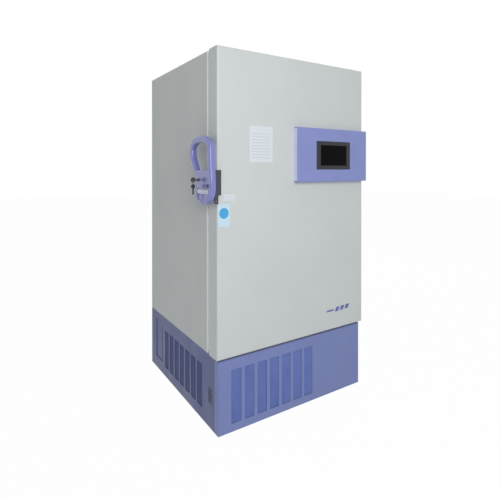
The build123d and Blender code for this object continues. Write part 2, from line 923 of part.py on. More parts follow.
# Screen: frame with a ledge, glass seated in it, and the board behind
bezel_front = panel_front - bezel_proud
bezel_back = bezel_front + bezel_thickness
with BuildPart() as display_bezel:
    with BuildSketch(facing_front(bezel_front)):
        with Locations(bezel_middle):
            RectangleRounded(bezel_width - 2 * near, bezel_height - 2 * near, bezel_corner - near)
    extrude(amount=-bezel_thickness)
    chamfer(display_bezel.faces().sort_by(Axis.Y)[0].edges(), length=1.2)
    with BuildSketch(facing_front(panel_front + panel_wall)):
        with Locations(bezel_middle):
            RectangleRounded(
                bezel_width + 2 * bezel_flange, bezel_height + 2 * bezel_flange, bezel_corner,
            )
    extrude(amount=-(bezel_back - panel_front - panel_wall))
    with BuildSketch(facing_front(bezel_front)):
        with Locations(bezel_middle):
            Rectangle(screen_width + 2 * snug, screen_height + 2 * snug)
    extrude(amount=-(screen_rise + screen_thickness), mode=Mode.SUBTRACT)
    with BuildSketch(facing_front(bezel_front)):
        with Locations(bezel_middle):
            Rectangle(screen_width - 2 * bezel_ledge, screen_height - 2 * bezel_ledge)
    extrude(amount=-bezel_thickness, mode=Mode.SUBTRACT)
display_bezel.part.label = "display_bezel"
export_step(display_bezel.part, "parts/display_bezel.step")

with BuildPart() as display_glass:
    with BuildSketch(facing_front(bezel_front + screen_rise)):
        with Locations(bezel_middle):
            Rectangle(screen_width, screen_height)
    extrude(amount=-screen_thickness)
display_glass.part.label = "display_glass"
export_step(display_glass.part, "parts/display_glass.step")

board_front = bezel_back + board_gap
with BuildPart() as control_board:
    with BuildSketch(facing_front(board_front)):
        with Locations(bezel_middle):
            RectangleRounded(board_width, board_height, 4)
    extrude(amount=-board_thickness)
    with BuildSketch(facing_front(board_front)):
        with Locations(bezel_middle):
            with GridLocations(board_width - 12, board_height - 12, 2, 2):
                Circle(board_post_radius)
    extrude(amount=board_gap)
    with BuildSketch(facing_front(board_front)):
        with Locations(bezel_middle):
            Rectangle(screen_width - 30, screen_height - 30)
    extrude(amount=module_thickness)
    with BuildSketch(facing_front(board_front + board_thickness)):
        with Locations(bezel_middle):
            with GridLocations(60, 0, 3, 1):
                Rectangle(32, 14)
    extrude(amount=-(door_front - board_front - board_thickness - 2))
control_board.part.label = "control_board"
export_step(control_board.part, "parts/control_board.step")

# Latch lever: a loop leaning back from a rounded body, with a thumb recess and a scoop
lever_inside = door_left - lever_gap
lever_outside = lever_inside - lever_thickness
pivot_y = door_front - pivot_ahead
lock_y = door_front + lock_behind_front
chin = (door_front - lever_lead + lever_chin_radius, lever_chin_height)
crown = (chin[0] + crown_shift, crown_height)
waist = (chin[0] + waist_shift, waist_height)
with BuildPart() as lever:
    with BuildSketch(facing_side(lever_inside)):
        with BuildLine():
            top_arc = EllipticalCenterArc(crown, crown_reach, crown_rise, start_angle=0, arc_size=180)
            chin_arc = CenterArc(chin, lever_chin_radius, 180, 180)
            Spline(top_arc @ 1, chin_arc @ 0, tangents=((0, -1), (0, -1)))
            Spline(chin_arc @ 1, waist, top_arc @ 0, tangents=((0, 1), (0, 1)))
        make_face()
    extrude(amount=-lever_thickness)
    with BuildSketch(facing_side(lever_inside)) as window:
        with BuildLine():
            inner_arc = EllipticalCenterArc(
                crown, crown_reach - limb_width, crown_rise - limb_width, start_angle=0, arc_size=180
            )
            front_foot = (chin[0] - lever_chin_radius + limb_width + 2, window_bottom)
            rear_foot = (waist[0] - limb_width, window_bottom)
            Line(inner_arc @ 1, front_foot)
            Line(front_foot, rear_foot)
            Spline(rear_foot, inner_arc @ 0, tangents=((0.45, 1), (0, 1)))
        make_face()
        fillet(window.vertices().group_by(Axis.Z)[0], radius=window_corner)
    extrude(amount=-lever_thickness, mode=Mode.SUBTRACT)
    fillet(lever.faces().sort_by(Axis.X)[0].edges(), radius=lever_outer_round)
    fillet(lever.faces().sort_by(Axis.X)[-1].edges(), radius=lever_inner_round)
    with BuildSketch(facing_side(lever_outside)):
        with Locations((chin[0], thumb_centre_height)):
            RectangleRounded(thumb_width, thumb_height, thumb_corner)
    extrude(amount=thumb_depth, mode=Mode.SUBTRACT)
    scoop_x = lever_outside + thumb_depth + scoop_depth - scoop_radius
    with Locations((scoop_x, chin[0], scoop_height)):
        Sphere(scoop_radius, mode=Mode.SUBTRACT)
    with BuildSketch(facing_side(lever_outside)):
        with Locations((pivot_y, pivot_height)):
            Circle(pivot_radius + running)
        with Locations((lock_y, lock_height)):
            Circle(lock_radius + running)
    extrude(amount=lever_thickness, mode=Mode.SUBTRACT)
lever.part.label = "lever"
export_step(lever.part, "parts/lever.step")

with BuildPart() as lever_inlay:
    with BuildSketch(facing_side(lever_outside + thumb_depth)):
        with Locations((chin[0], inlay_height_at)):
            RectangleRounded(inlay_width, inlay_height, inlay_corner)
    extrude(amount=-inlay_thickness)
    chamfer(lever_inlay.faces().sort_by(Axis.X)[0].edges(), length=1)
lever_inlay.part.label = "lever_inlay"
export_step(lever_inlay.part, "parts/lever_inlay.step")

# Lever bracket: a block round the door's front edge, cut round for the hook's sweep, with the pivot
# and a padlock ear below
bracket_outside = door_left - bracket_depth
bracket_top = bracket_bottom + bracket_height
bracket_front = door_front - bracket_ahead
slot_floor = bracket_sweep - slot_depth
with BuildPart() as lever_bracket:
    with BuildSketch(facing_side(door_left)):
        span(bracket_front, pivot_y + bracket_sweep, bracket_bottom, bracket_top)
        with Locations((pivot_y, pivot_height)):
            Circle(bracket_sweep, mode=Mode.INTERSECT)
    extrude(amount=-bracket_depth)
    with BuildSketch(Plane.XY.offset(bracket_bottom)):
        span(door_left, door_left + bracket_wrap, door_front - bracket_wrap_depth, door_front)
    extrude(amount=bracket_height)
    fillet(
        lever_bracket.faces().sort_by(Axis.X)[0].edges(), radius=bracket_round,
    )
    with BuildSketch(facing_side(bracket_outside)):
        with Locations((pivot_y, pivot_height)):
            Circle(boss_radius)
    extrude(amount=-(lever_gap - bracket_depth - near))
    with BuildSketch(facing_side(bracket_outside)):
        with Locations((pivot_y, pivot_height)):
            Circle(pivot_radius)
    extrude(amount=-(lever_gap - bracket_depth + lever_thickness + near))
    with BuildSketch(facing_side(lever_outside - near)):
        with Locations((pivot_y, pivot_height)):
            Circle(pivot_head_radius)
    extrude(amount=-pivot_head)
    with BuildSketch(facing_front(bracket_front + ear_behind_front)):
        span(
            bracket_outside + 2, bracket_outside + 2 + ear_width,
            ear_bottom, bracket_bottom + bracket_round, 3,
        )
        with Locations((bracket_outside + 2 + ear_width / 2, ear_bottom + 2.6 * ear_hole_radius)):
            Circle(ear_hole_radius, mode=Mode.SUBTRACT)
    extrude(amount=-ear_thickness)
    lock_drop = lock_height - pivot_height
    with BuildSketch(facing_side(door_left - tongue_gap + 2)):
        span(
            pivot_y + slot_floor - 4, pivot_y + bracket_sweep + 5,
            pivot_height + lock_drop - tongue_width / 2 - slot_below,
            pivot_height + lock_drop + tongue_width / 2 + slot_above,
        )
    extrude(amount=-(tongue_thickness + 4), mode=Mode.SUBTRACT)
lever_bracket.part.label = "lever_bracket"
export_step(lever_bracket.part, "parts/lever_bracket.step")

# Latch hook: an arm over the striker's pin with a nose that follows an arc about the pivot
nose_in = (pin_from_pivot**2 + pin_below_pivot**2) ** 0.5 + striker_pin_radius + hook_pin_gap
nose_bottom = -pin_below_pivot + striker_pin_radius + hook_pin_gap
arm_bottom = nose_bottom + hook_lift
hook_inside = door_left - lever_gap + hook_gap


def from_pivot(across, up):
    """A point of a side sketch, given from the lever's pivot."""
    return (pivot_y + across, pivot_height + up)


nose_top_in = (nose_in**2 - arm_bottom**2) ** 0.5
nose_low_in = (nose_in**2 - nose_bottom**2) ** 0.5
hook_front = pin_from_pivot - striker_pin_radius - hook_pin_gap - 1.5
hook_back = nose_low_in + hook_nose
with BuildPart() as latch_hook:
    with BuildSketch(facing_side(hook_inside)) as hook_face:
        with BuildLine():
            Polyline(
                from_pivot(nose_top_in, arm_bottom),
                from_pivot(hook_front, arm_bottom),
                from_pivot(hook_front, nose_bottom - 4),
                from_pivot(hook_root, nose_bottom - 4),
                from_pivot(hook_root, arm_bottom + hook_arm),
                from_pivot(hook_back - 6, arm_bottom + hook_arm),
                from_pivot(hook_back, arm_bottom + hook_arm - 8),
                from_pivot(hook_back, nose_bottom + 5),
                from_pivot(hook_back - 6, nose_bottom),
                from_pivot(nose_low_in, nose_bottom),
            )
            RadiusArc(
                from_pivot(nose_low_in, nose_bottom), from_pivot(nose_top_in, arm_bottom), -nose_in,
            )
        make_face()
    extrude(amount=hook_thickness)
    with BuildSketch(facing_side(lever_inside)):
        span(
            pivot_y + hook_root + 2, pivot_y + hook_front - 2,
            pivot_height + nose_bottom, pivot_height + arm_bottom + hook_arm - 2, 4,
        )
    extrude(amount=hook_gap)
latch_hook.part.label = "latch_hook"
export_step(latch_hook.part, "parts/latch_hook.step")

# Striker: a plate on the cabinet's side with the pin that the hook drops over
striker_y = pivot_y + pin_from_pivot
striker_z = pivot_height - pin_below_pivot
with BuildPart() as striker:
    with BuildSketch(facing_side(cabinet_left)):
        span(
            cabinet_front + 2, striker_y + striker_margin + 26,
            striker_z - 2.2 * striker_margin, striker_z + 2.2 * striker_margin, 5,
        )
    extrude(amount=-striker_plate)
    with BuildSketch(facing_side(cabinet_left)):
        with Locations((striker_y, striker_z)):
            Circle(striker_pin_radius)
    extrude(amount=-(lever_gap - hook_gap + hook_thickness / 2 - 2))
    chamfer(striker.faces().sort_by(Axis.X)[0].edges(), length=1)
striker.part.label = "striker"
export_step(striker.part, "parts/striker.step")

# Lock: its cylinder is fixed in the lever, and the plug turns in it with the key and a tongue
with BuildPart() as lock_cylinder:
    with BuildSketch(facing_side(lever_inside)):
        with Locations((lock_y, lock_height)):
            Circle(lock_radius)
            Circle(plug_radius + running, mode=Mode.SUBTRACT)
    extrude(amount=-(lever_thickness + 1.5))
lock_cylinder.part.label = "lock_cylinder"
export_step(lock_cylinder.part, "parts/lock_cylinder.step")

key_x = lever_outside - key_stand + bow_radius
bow_hole_z = lock_height - bow_hole_drop
tongue_x = door_left - tongue_gap
with BuildPart() as key:
    with BuildSketch(facing_side(tongue_x)):
        with Locations((lock_y, lock_height)):
            Circle(plug_radius)
    extrude(amount=-(tongue_x - lever_outside + 2))
    with BuildSketch(facing_side(tongue_x)):
        with Locations((lock_y, lock_height)):
            Circle(plug_radius)
        span(
            lock_y - tongue_width / 2, lock_y + tongue_width / 2, lock_height, lock_height + tongue_reach,
        )
    extrude(amount=-tongue_thickness)
    with BuildSketch(facing_front(lock_y)):
        span(
            key_x, lever_outside,
            lock_height - key_blade_height / 2, lock_height + key_blade_height / 2,
        )
    extrude(amount=key_blade_thickness / 2, both=True)
    with BuildSketch(facing_front(lock_y)):
        with Locations((key_x, lock_height)):
            Circle(bow_radius)
        with Locations((key_x, bow_hole_z)):
            Circle(bow_hole_radius, mode=Mode.SUBTRACT)
    extrude(amount=bow_thickness / 2, both=True)
    with BuildSketch(facing_front(lock_y)):
        with Locations((key_x, bow_hole_z)):
            Circle(bow_hole_radius)
    extrude(amount=bow_thickness, both=True, mode=Mode.SUBTRACT)
key.part.label = "key"
export_step(key.part, "parts/key.step")

ring_top_z = bow_hole_z - bow_hole_radius + ring_wire + ring_rest
spare_bow_z = ring_top_z - 2 * ring_radius - bow_hole_drop
with BuildPart() as hanging_key:
    with BuildSketch(facing_front(lock_y)):
        with Locations((key_x, spare_bow_z)):
            Circle(spare_bow_radius)
        span(
            key_x - key_blade_height / 2, key_x + key_blade_height / 2,
            spare_bow_z - spare_bow_radius - spare_blade_length, spare_bow_z,
        )
    extrude(amount=bow_thickness / 2, both=True)
    with BuildSketch(facing_front(lock_y)):
        with Locations((key_x, ring_top_z)):
            Circle(ring_wire)
    revolve(axis=Axis((key_x, lock_y, ring_top_z - ring_radius), (1, 0, 0)))
hanging_key.part.label = "hanging_key"
export_step(hanging_key.part, "parts/hanging_key.step")

# Front grille: a folded panel with seven air slots, hinged at its right return
grille_top = base_height - top_plate - grille_top_gap
grille_rear = door_front + grille_return
side_front = grille_rear + seam_gap
with BuildPart() as front_grille:
    with BuildSketch(Plane.XY.offset(skirt_clearance)) as folded:
        span(cabinet_left, cabinet_right, door_front, grille_rear)
        fillet(folded.vertices().group_by(Axis.Y)[0], radius=grille_corner)
    extrude(amount=grille_top - skirt_clearance)
    with BuildSketch(Plane.XY.offset(skirt_clearance + steel)) as hollow:
        span(cabinet_left + steel, cabinet_right - steel, door_front + steel, grille_rear)
        fillet(hollow.vertices().group_by(Axis.Y)[0], radius=grille_corner - steel)
    extrude(amount=grille_top - skirt_clearance - 2 * steel, mode=Mode.SUBTRACT)
    with BuildSketch(Plane.XY.offset(skirt_clearance)):
        span(
            cabinet_left + steel, cabinet_right - steel, door_front + grille_flange, grille_rear,
        )
    extrude(amount=grille_top - skirt_clearance, mode=Mode.SUBTRACT)
    with BuildSketch(facing_front(door_front)):
        for number in range(slot_count):
            slot_left = cabinet_left + front_slot_inset + number * slot_pitch
            span(
                slot_left, slot_left + slot_width,
                front_slot_bottom, front_slot_bottom + front_slot_height, slot_corner,
            )
    extrude(amount=-steel, mode=Mode.SUBTRACT)
    butt_x = cabinet_right + butt_radius
    butt_y = grille_rear + seam_gap / 2
    butt_heights = (skirt_clearance + butt_inset, grille_top - butt_inset)
    for height in butt_heights:
        with BuildSketch(facing_side(cabinet_right)):
            span(butt_y - butt_leaf_width, butt_y, height, height + butt_height / 2)
        extrude(amount=butt_leaf)
        with BuildSketch(Plane.XY.offset(height)):
            with Locations((butt_x, butt_y)):
                Circle(butt_radius)
        extrude(amount=butt_height / 2)
    for height in butt_heights:
        with BuildSketch(Plane.XY.offset(height)):
            with Locations((butt_x, butt_y)):
                Circle(butt_pin_radius + running)
        extrude(amount=butt_height / 2, mode=Mode.SUBTRACT)
front_grille.part.label = "front_grille"
export_step(front_grille.part, "parts/front_grille.step")

# Air filter: a framed mat clipped behind the slots
filter_left = cabinet_left + front_slot_inset - filter_margin
filter_right = filter_left + (slot_count - 1) * slot_pitch + slot_width + 2 * filter_margin
filter_low = front_slot_bottom - filter_margin
filter_high = front_slot_bottom + front_slot_height + filter_margin
with BuildPart() as air_filter:
    with BuildSketch(facing_front(door_front + steel)):
        span(filter_left, filter_right, filter_low, filter_high, 4)
    extrude(amount=-filter_thickness)
    with BuildSketch(facing_front(door_front + steel + filter_thickness)):
        span(
            filter_left + filter_rim, filter_right - filter_rim,
            filter_low + filter_rim, filter_high - filter_rim,
        )
    extrude(amount=filter_cell_depth, mode=Mode.SUBTRACT)
air_filter.part.label = "air_filter"
export_step(air_filter.part, "parts/air_filter.step")


def side_panel(outside, inward):
    """A side sheet of the base with its flanges, slots and pressed field, from its outer plane."""
    top = base_height - top_plate
    with BuildPart() as side:
        with BuildSketch(Plane.XY.offset(skirt_clearance)):
            low, high = sorted((outside, outside + inward * steel))
            span(low, high, side_front, cabinet_back)
            low, high = sorted((outside, outside + inward * side_return))
            span(low, high, side_front, side_front + steel)
            low, high = sorted((outside, outside + inward * side_flange))
            span(low, high, cabinet_back - steel, cabinet_back)
        extrude(amount=top - skirt_clearance)
        with BuildSketch(facing_side(outside)):
            span(
                door_front + side_field_start - steel,
                door_front + side_field_start + side_field_width + steel,
                side_field_bottom - steel, side_field_bottom + side_field_height + steel,
            )
        extrude(amount=inward * side_field_depth)
        with BuildSketch(facing_side(outside)):
            span(
                door_front + side_field_start, door_front + side_field_start + side_field_width,
                side_field_bottom, side_field_bottom + side_field_height,
            )
        extrude(amount=inward * (side_field_depth - steel), mode=Mode.SUBTRACT)
        with BuildSketch(facing_side(outside)):
            for number in range(slot_count):
                slot_front = door_front + side_slot_start + number * slot_pitch
                span(
                    slot_front, slot_front + slot_width,
                    side_slot_bottom, side_slot_bottom + side_slot_height, slot_corner,
                )
        extrude(amount=inward * steel, mode=Mode.SUBTRACT)
    return side.part


switch_y = door_front + switch_start
with BuildPart() as base_side_left:
    add(side_panel(cabinet_left, 1))
    with BuildSketch(facing_side(cabinet_left)):
        span(
            switch_y + switch_rim - snug, switch_y + switch_width - switch_rim + snug,
            switch_bottom + switch_rim - snug, switch_bottom + switch_height - switch_rim + snug,
        )
    extrude(amount=steel, mode=Mode.SUBTRACT)
base_side_left.part.label = "base_side_left"
export_step(base_side_left.part, "parts/base_side_left.step")

# The right side panel carries the fixed halves of the grille's butt hinges with their pins
with BuildPart() as base_side_right:
    add(side_panel(cabinet_right, -1))
    for height in butt_heights:
        middle = height + butt_height / 2
        with BuildSketch(facing_side(cabinet_right)):
            span(
                butt_y + butt_radius + near, butt_y + butt_leaf_width, height, height + butt_height,
            )
            span(butt_y, butt_y + butt_radius + near, middle + near, height + butt_height)
        extrude(amount=butt_leaf)
        with BuildSketch(Plane.XY.offset(middle + near)):
            with Locations((butt_x, butt_y)):
                Circle(butt_radius)
        extrude(amount=butt_height / 2 - near)
        with BuildSketch(Plane.XY.offset(height)):
            with Locations((butt_x, butt_y)):
                Circle(butt_pin_radius)
        extrude(amount=butt_height / 2 + near)
base_side_right.part.label = "base_side_right"
export_step(base_side_right.part, "parts/base_side_right.step")

# Rear cover of the base, with rows of air slots and the hole of the cord gland
gland_x = cabinet_right - gland_inset
rear_low = rear_bottom - pan_flange / 2
with BuildPart() as rear_cover:
    with BuildSketch(facing_front(cabinet_back - steel)):
        span(
            cabinet_left + steel + snug, cabinet_right - steel - snug,
            rear_low, base_height - top_plate,
        )
        for column in range(rear_slot_columns):
            offset_x = (column - (rear_slot_columns - 1) / 2) * (rear_slot_width + 60)
            for row in range(rear_slot_rows):
                slot_z = rear_bottom + 20 + row * rear_slot_pitch
                span(
                    cabinet_middle + offset_x - rear_slot_width / 2,
                    cabinet_middle + offset_x + rear_slot_width / 2,
                    slot_z, slot_z + rear_slot_height, 5, mode=Mode.SUBTRACT,
                )
        with Locations((gland_x, gland_height)):
            Circle(gland_bore + 3, mode=Mode.SUBTRACT)
    extrude(amount=steel)
rear_cover.part.label = "rear_cover"
export_step(rear_cover.part, "parts/rear_cover.step")

with BuildPart() as cord_gland:
    with BuildSketch(facing_front(cabinet_back - steel)):
        with Locations((gland_x, gland_height)):
            RegularPolygon(gland_radius, 6)
    extrude(amount=-gland_length * 0.4)
    with BuildSketch(facing_front(cabinet_back - steel)):
        with Locations((gland_x, gland_height)):
            Circle(gland_radius - 3)
    extrude(amount=-gland_length, taper=6)
    with BuildSketch(facing_front(cabinet_back - 2 * steel - 8)):
        with Locations((gland_x, gland_height)):
            Circle(gland_bore + 3 - snug)
    extrude(amount=-(steel + 8))
    with BuildSketch(facing_front(cabinet_back - 2 * steel - 8)):
        with Locations((gland_x, gland_height)):
            Circle(gland_bore)
    extrude(amount=-(gland_length + 2 * steel + 8), mode=Mode.SUBTRACT)
cord_gland.part.label = "cord_gland"
export_step(cord_gland.part, "parts/cord_gland.step")

# Screws that hold the hinge brackets, the striker and the rear cover
screw_faces = []
for height in hinge_heights:
    for across in (cabinet_front + 34, cabinet_front + hinge_plate_length - 12):
        for up in (-hinge_half_height + 12, hinge_half_height - 12):
            screw_faces.append((facing_side(cabinet_right + hinge_plate), across, height + up, 1))
for up in (-1.5 * striker_margin, 1.5 * striker_margin):
    screw_faces.append(
        (facing_side(cabinet_left - striker_plate), striker_y + striker_margin + 14, striker_z + up, -1)
    )
for across in (cabinet_left + 20, cabinet_middle, cabinet_right - 20):
    for up in (rear_low + 12, base_height - top_plate - 12):
        screw_faces.append((facing_front(cabinet_back - steel), across, up, -1))
with BuildPart() as panel_screws:
    for face, across, up, outward in screw_faces:
        with BuildSketch(face):
            with Locations((across, up)):
                Circle(screw_radius)
        extrude(amount=outward * screw_height, taper=14)
        with BuildSketch(face):
            with Locations((across, up)):
                RegularPolygon(screw_radius * 0.5, 6)
        extrude(amount=outward * screw_height, mode=Mode.SUBTRACT)
        with BuildSketch(face):
            with Locations((across, up)):
                Circle(screw_radius * 0.6)
        extrude(amount=outward * screw_dish)
panel_screws.part.label = "panel_screws"
export_step(panel_screws.part, "parts/panel_screws.step")

# Switch plate with two rockers: main switch above, alarm battery switch below
switch_middle_y = switch_y + switch_width / 2
switch_middle_z = switch_bottom + switch_height / 2
rocker_x = cabinet_left + rocker_depth
pocket_half_width = rocker_width / 2 + rocker_gap
pocket_half_height = rocker_half + 2 * rocker_gap
with BuildPart() as switch_plate:
    with BuildSketch(facing_side(cabinet_left)):
        span(
            switch_y, switch_y + switch_width, switch_bottom, switch_bottom + switch_height, 4,
        )
    extrude(amount=-switch_proud)
    with BuildSketch(facing_side(cabinet_left)):
        span(
            switch_y + switch_rim, switch_y + switch_width - switch_rim,
            switch_bottom + switch_rim, switch_bottom + switch_height - switch_rim,
        )
    extrude(amount=switch_body)
    with BuildSketch(facing_side(cabinet_left - switch_proud)):
        with Locations((switch_middle_y, switch_middle_z)):
            with GridLocations(0, rocker_pitch, 1, 2):
                Rectangle(2 * pocket_half_width, 2 * pocket_half_height)
    extrude(amount=switch_proud + switch_body - 4, mode=Mode.SUBTRACT)
    with BuildSketch(facing_front(switch_middle_y)):
        for side in (-1, 1):
            with Locations((rocker_x, switch_middle_z + side * rocker_pitch / 2)):
                Circle(rocker_pin_radius + running)
    extrude(amount=pocket_half_width + rocker_pin_length, both=True, mode=Mode.SUBTRACT)
switch_plate.part.label = "switch_plate"
export_step(switch_plate.part, "parts/switch_plate.step")

rocker_heights = {
    "alarm_switch": switch_middle_z - rocker_pitch / 2,
    "power_switch": switch_middle_z + rocker_pitch / 2,
}
for name, height in rocker_heights.items():
    tilt = radians(rocker_tilt)
    corners = (
        (-rocker_face, rocker_half), (-rocker_valley, 0), (-rocker_face, -rocker_half),
        (rocker_back, -rocker_back_half), (rocker_back, rocker_back_half),
    )
    turned = [
        (rocker_x + u * cos(tilt) - v * sin(tilt), height + u * sin(tilt) + v * cos(tilt))
        for u, v in corners
    ]
    with BuildPart() as rocker:
        with BuildSketch(facing_front(switch_middle_y)):
            with BuildLine():
                Polyline(*turned, close=True)
            make_face()
        extrude(amount=rocker_width / 2, both=True)
        with BuildSketch(facing_front(switch_middle_y)):
            with Locations((rocker_x, height)):
                Circle(rocker_pin_radius)
        extrude(amount=pocket_half_width + rocker_pin_length - near, both=True)
    rocker.part.label = name
    export_step(rocker.part, f"parts/{name}.step")

# Base frame: pan, corner posts, top plate that carries the cabinet, and caster plates
frame_left = cabinet_left + frame_side_gap
frame_right = cabinet_right - frame_side_gap
frame_front = door_front + frame_front_gap
frame_back = cabinet_back - 2 * steel - snug
pan_top = pan_height + pan_thickness
top_under = base_height - top_plate
frame_middle = ((frame_left + frame_right) / 2, (frame_front + frame_back) / 2)
frame_size = (frame_right - frame_left, frame_back - frame_front)
caster_places = {
    "front_left": (cabinet_left + caster_inset, door_front + caster_front),
    "front_right": (cabinet_right - caster_inset, door_front + caster_front),
    "rear_left": (cabinet_left + caster_inset, cabinet_back - caster_rear - caster_trail),
    "rear_right": (cabinet_right - caster_inset, cabinet_back - caster_rear - caster_trail),
}
foot_places = {
    "left": (cabinet_left + foot_inset, door_front + foot_front),
    "right": (cabinet_right - foot_inset, door_front + foot_front),
}
with BuildPart() as base_frame:
    with BuildSketch(Plane.XY.offset(pan_height)):
        span(frame_left, frame_right, frame_front, frame_back)
    extrude(amount=pan_thickness)
    with BuildSketch(Plane.XY.offset(pan_height)):
        span(frame_left, frame_right, frame_front, frame_back)
        span(
            frame_left + pan_thickness, frame_right - pan_thickness,
            frame_front + pan_thickness, frame_back - pan_thickness, mode=Mode.SUBTRACT,
        )
    extrude(amount=pan_flange)
    with BuildSketch(Plane.XY.offset(pan_height)):
        with Locations(frame_middle):
            with GridLocations(frame_size[0] - post_size, frame_size[1] - post_size, 2, 2):
                Rectangle(post_size, post_size)
        span(
            frame_left + pan_thickness, frame_right - pan_thickness,
            frame_front + pan_thickness, frame_back - pan_thickness, mode=Mode.SUBTRACT,
        )
    extrude(amount=top_under - pan_height)
    with BuildSketch(Plane.XY.offset(top_under - top_flange)):
        span(frame_left, frame_right, frame_front, frame_back)
        span(
            frame_left + pan_thickness, frame_right - pan_thickness,
            frame_front + pan_thickness, frame_back - pan_thickness, mode=Mode.SUBTRACT,
        )
    extrude(amount=top_flange)
    with BuildSketch(Plane.XY.offset(top_under)):
        span(cabinet_left, cabinet_right, door_front, cabinet_back)
    extrude(amount=top_plate)
    with BuildSketch(Plane.XY.offset(pan_height - caster_plate)):
        for x, y in caster_places.values():
            with Locations((x, y)):
                RectangleRounded(caster_plate_size, caster_plate_size, 8)
    extrude(amount=caster_plate)
    with BuildSketch(Plane.XY.offset(pan_height - caster_plate)):
        for x, y in caster_places.values():
            with Locations((x, y)):
                Circle(kingpin_radius + running)
        for x, y in foot_places.values():
            with Locations((x, y)):
                Circle(foot_stud_radius + running)
    extrude(amount=caster_plate + pan_thickness, mode=Mode.SUBTRACT)
base_frame.part.label = "base_frame"
export_step(base_frame.part, "parts/base_frame.step")

# Casters: a fork on a kingpin, and a wheel that trails behind it
fork_inside = wheel_width / 2 + fork_gap
fork_top = pan_height - caster_plate - near
for place, (x, y) in caster_places.items():
    axle_y = y + caster_trail
    with BuildPart() as fork:
        with BuildSketch(Plane.XY.offset(fork_top - fork_crown)):
            with Locations((x, y)):
                Circle(fork_crown_radius)
            span(x - fork_inside - fork_thickness, x + fork_inside + fork_thickness, y, axle_y, 0)
        extrude(amount=fork_crown)
        with BuildSketch(Plane.XY.offset(fork_top)):
            with Locations((x, y)):
                Circle(kingpin_radius)
        extrude(amount=pan_top - kingpin_recess - fork_top)
        for side in (-1, 1):
            with BuildSketch(facing_side(x + side * (fork_inside + fork_thickness / 2))):
                with BuildLine():
                    Polyline(
                        (y - 10, fork_top), (y - 10, fork_top - fork_crown),
                        (axle_y - 8, wheel_radius), (axle_y + 8, wheel_radius),
                        (axle_y + 8, fork_top - fork_crown), (axle_y, fork_top), close=True,
                    )
                make_face()
                with Locations((axle_y, wheel_radius)):
                    Circle(8)
            extrude(amount=fork_thickness / 2, both=True)
        with BuildSketch(facing_side(x)):
            with Locations((axle_y, wheel_radius)):
                Circle(axle_radius)
        extrude(amount=fork_inside + fork_thickness, both=True)
    fork.part.label = f"caster_fork_{place}"
    export_step(fork.part, f"parts/caster_fork_{place}.step")

    with BuildPart() as wheel:
        with BuildSketch(facing_side(x)):
            with Locations((axle_y, wheel_radius)):
                Circle(wheel_radius)
                Circle(axle_radius + running, mode=Mode.SUBTRACT)
        extrude(amount=wheel_width / 2, both=True)
        chamfer(wheel.edges().filter_by(GeomType.CIRCLE).group_by(SortBy.RADIUS)[-1], length=2)
        for side in (-1, 1):
            with BuildSketch(facing_side(x + side * wheel_width / 2)):
                with Locations((axle_y, wheel_radius)):
                    Circle(wheel_radius - 6)
                    Circle(wheel_hub_radius, mode=Mode.SUBTRACT)
            extrude(amount=-side * wheel_hub_recess, mode=Mode.SUBTRACT)
    wheel.part.label = f"caster_wheel_{place}"
    export_step(wheel.part, f"parts/caster_wheel_{place}.step")

# Levelling feet: a pad and a neck under the pan, and a stud through it
for place, (x, y) in foot_places.items():
    with BuildPart() as foot:
        with BuildSketch(Plane.XZ.offset(-y)):
            with BuildLine():
                Polyline(
                    (x, 0), (x + foot_radius - 2, 0), (x + foot_radius, 3),
                    (x + foot_radius - 1, foot_height - 3), (x + foot_neck_radius + 3, foot_height),
                    (x + foot_neck_radius, foot_height + 2), (x + foot_neck_radius, pan_height - near),
                    (x + foot_stud_radius, pan_height - near),
                    (x + foot_stud_radius, pan_top + foot_stud_top), (x, pan_top + foot_stud_top),
                    close=True,
                )
            make_face()
        revolve(axis=Axis((x, y, 0), (0, 0, 1)))
    foot.part.label = f"levelling_foot_{place}"
    export_step(foot.part, f"parts/levelling_foot_{place}.step")

# Condenser: end plates and a fin pack, behind the filter
condenser_left = cabinet_left + condenser_inset
condenser_y = door_front + condenser_front
condenser_top = pan_top + condenser_height
with BuildPart() as condenser:
    with BuildSketch(facing_front(condenser_y)):
        span(condenser_left, condenser_left + condenser_width, pan_top, condenser_top)
    extrude(amount=-condenser_depth)
    fin_count = int((condenser_width - 2 * condenser_end) / fin_pitch)
    with BuildSketch(Plane.XY.offset(pan_top + condenser_end)):
        for number in range(fin_count):
            slot_x = condenser_left + condenser_end + number * fin_pitch
            span(slot_x, slot_x + fin_slot, condenser_y, condenser_y + fin_slot_depth)
    extrude(amount=condenser_height - 2 * condenser_end, mode=Mode.SUBTRACT)
condenser.part.label = "condenser"
export_step(condenser.part, "parts/condenser.step")

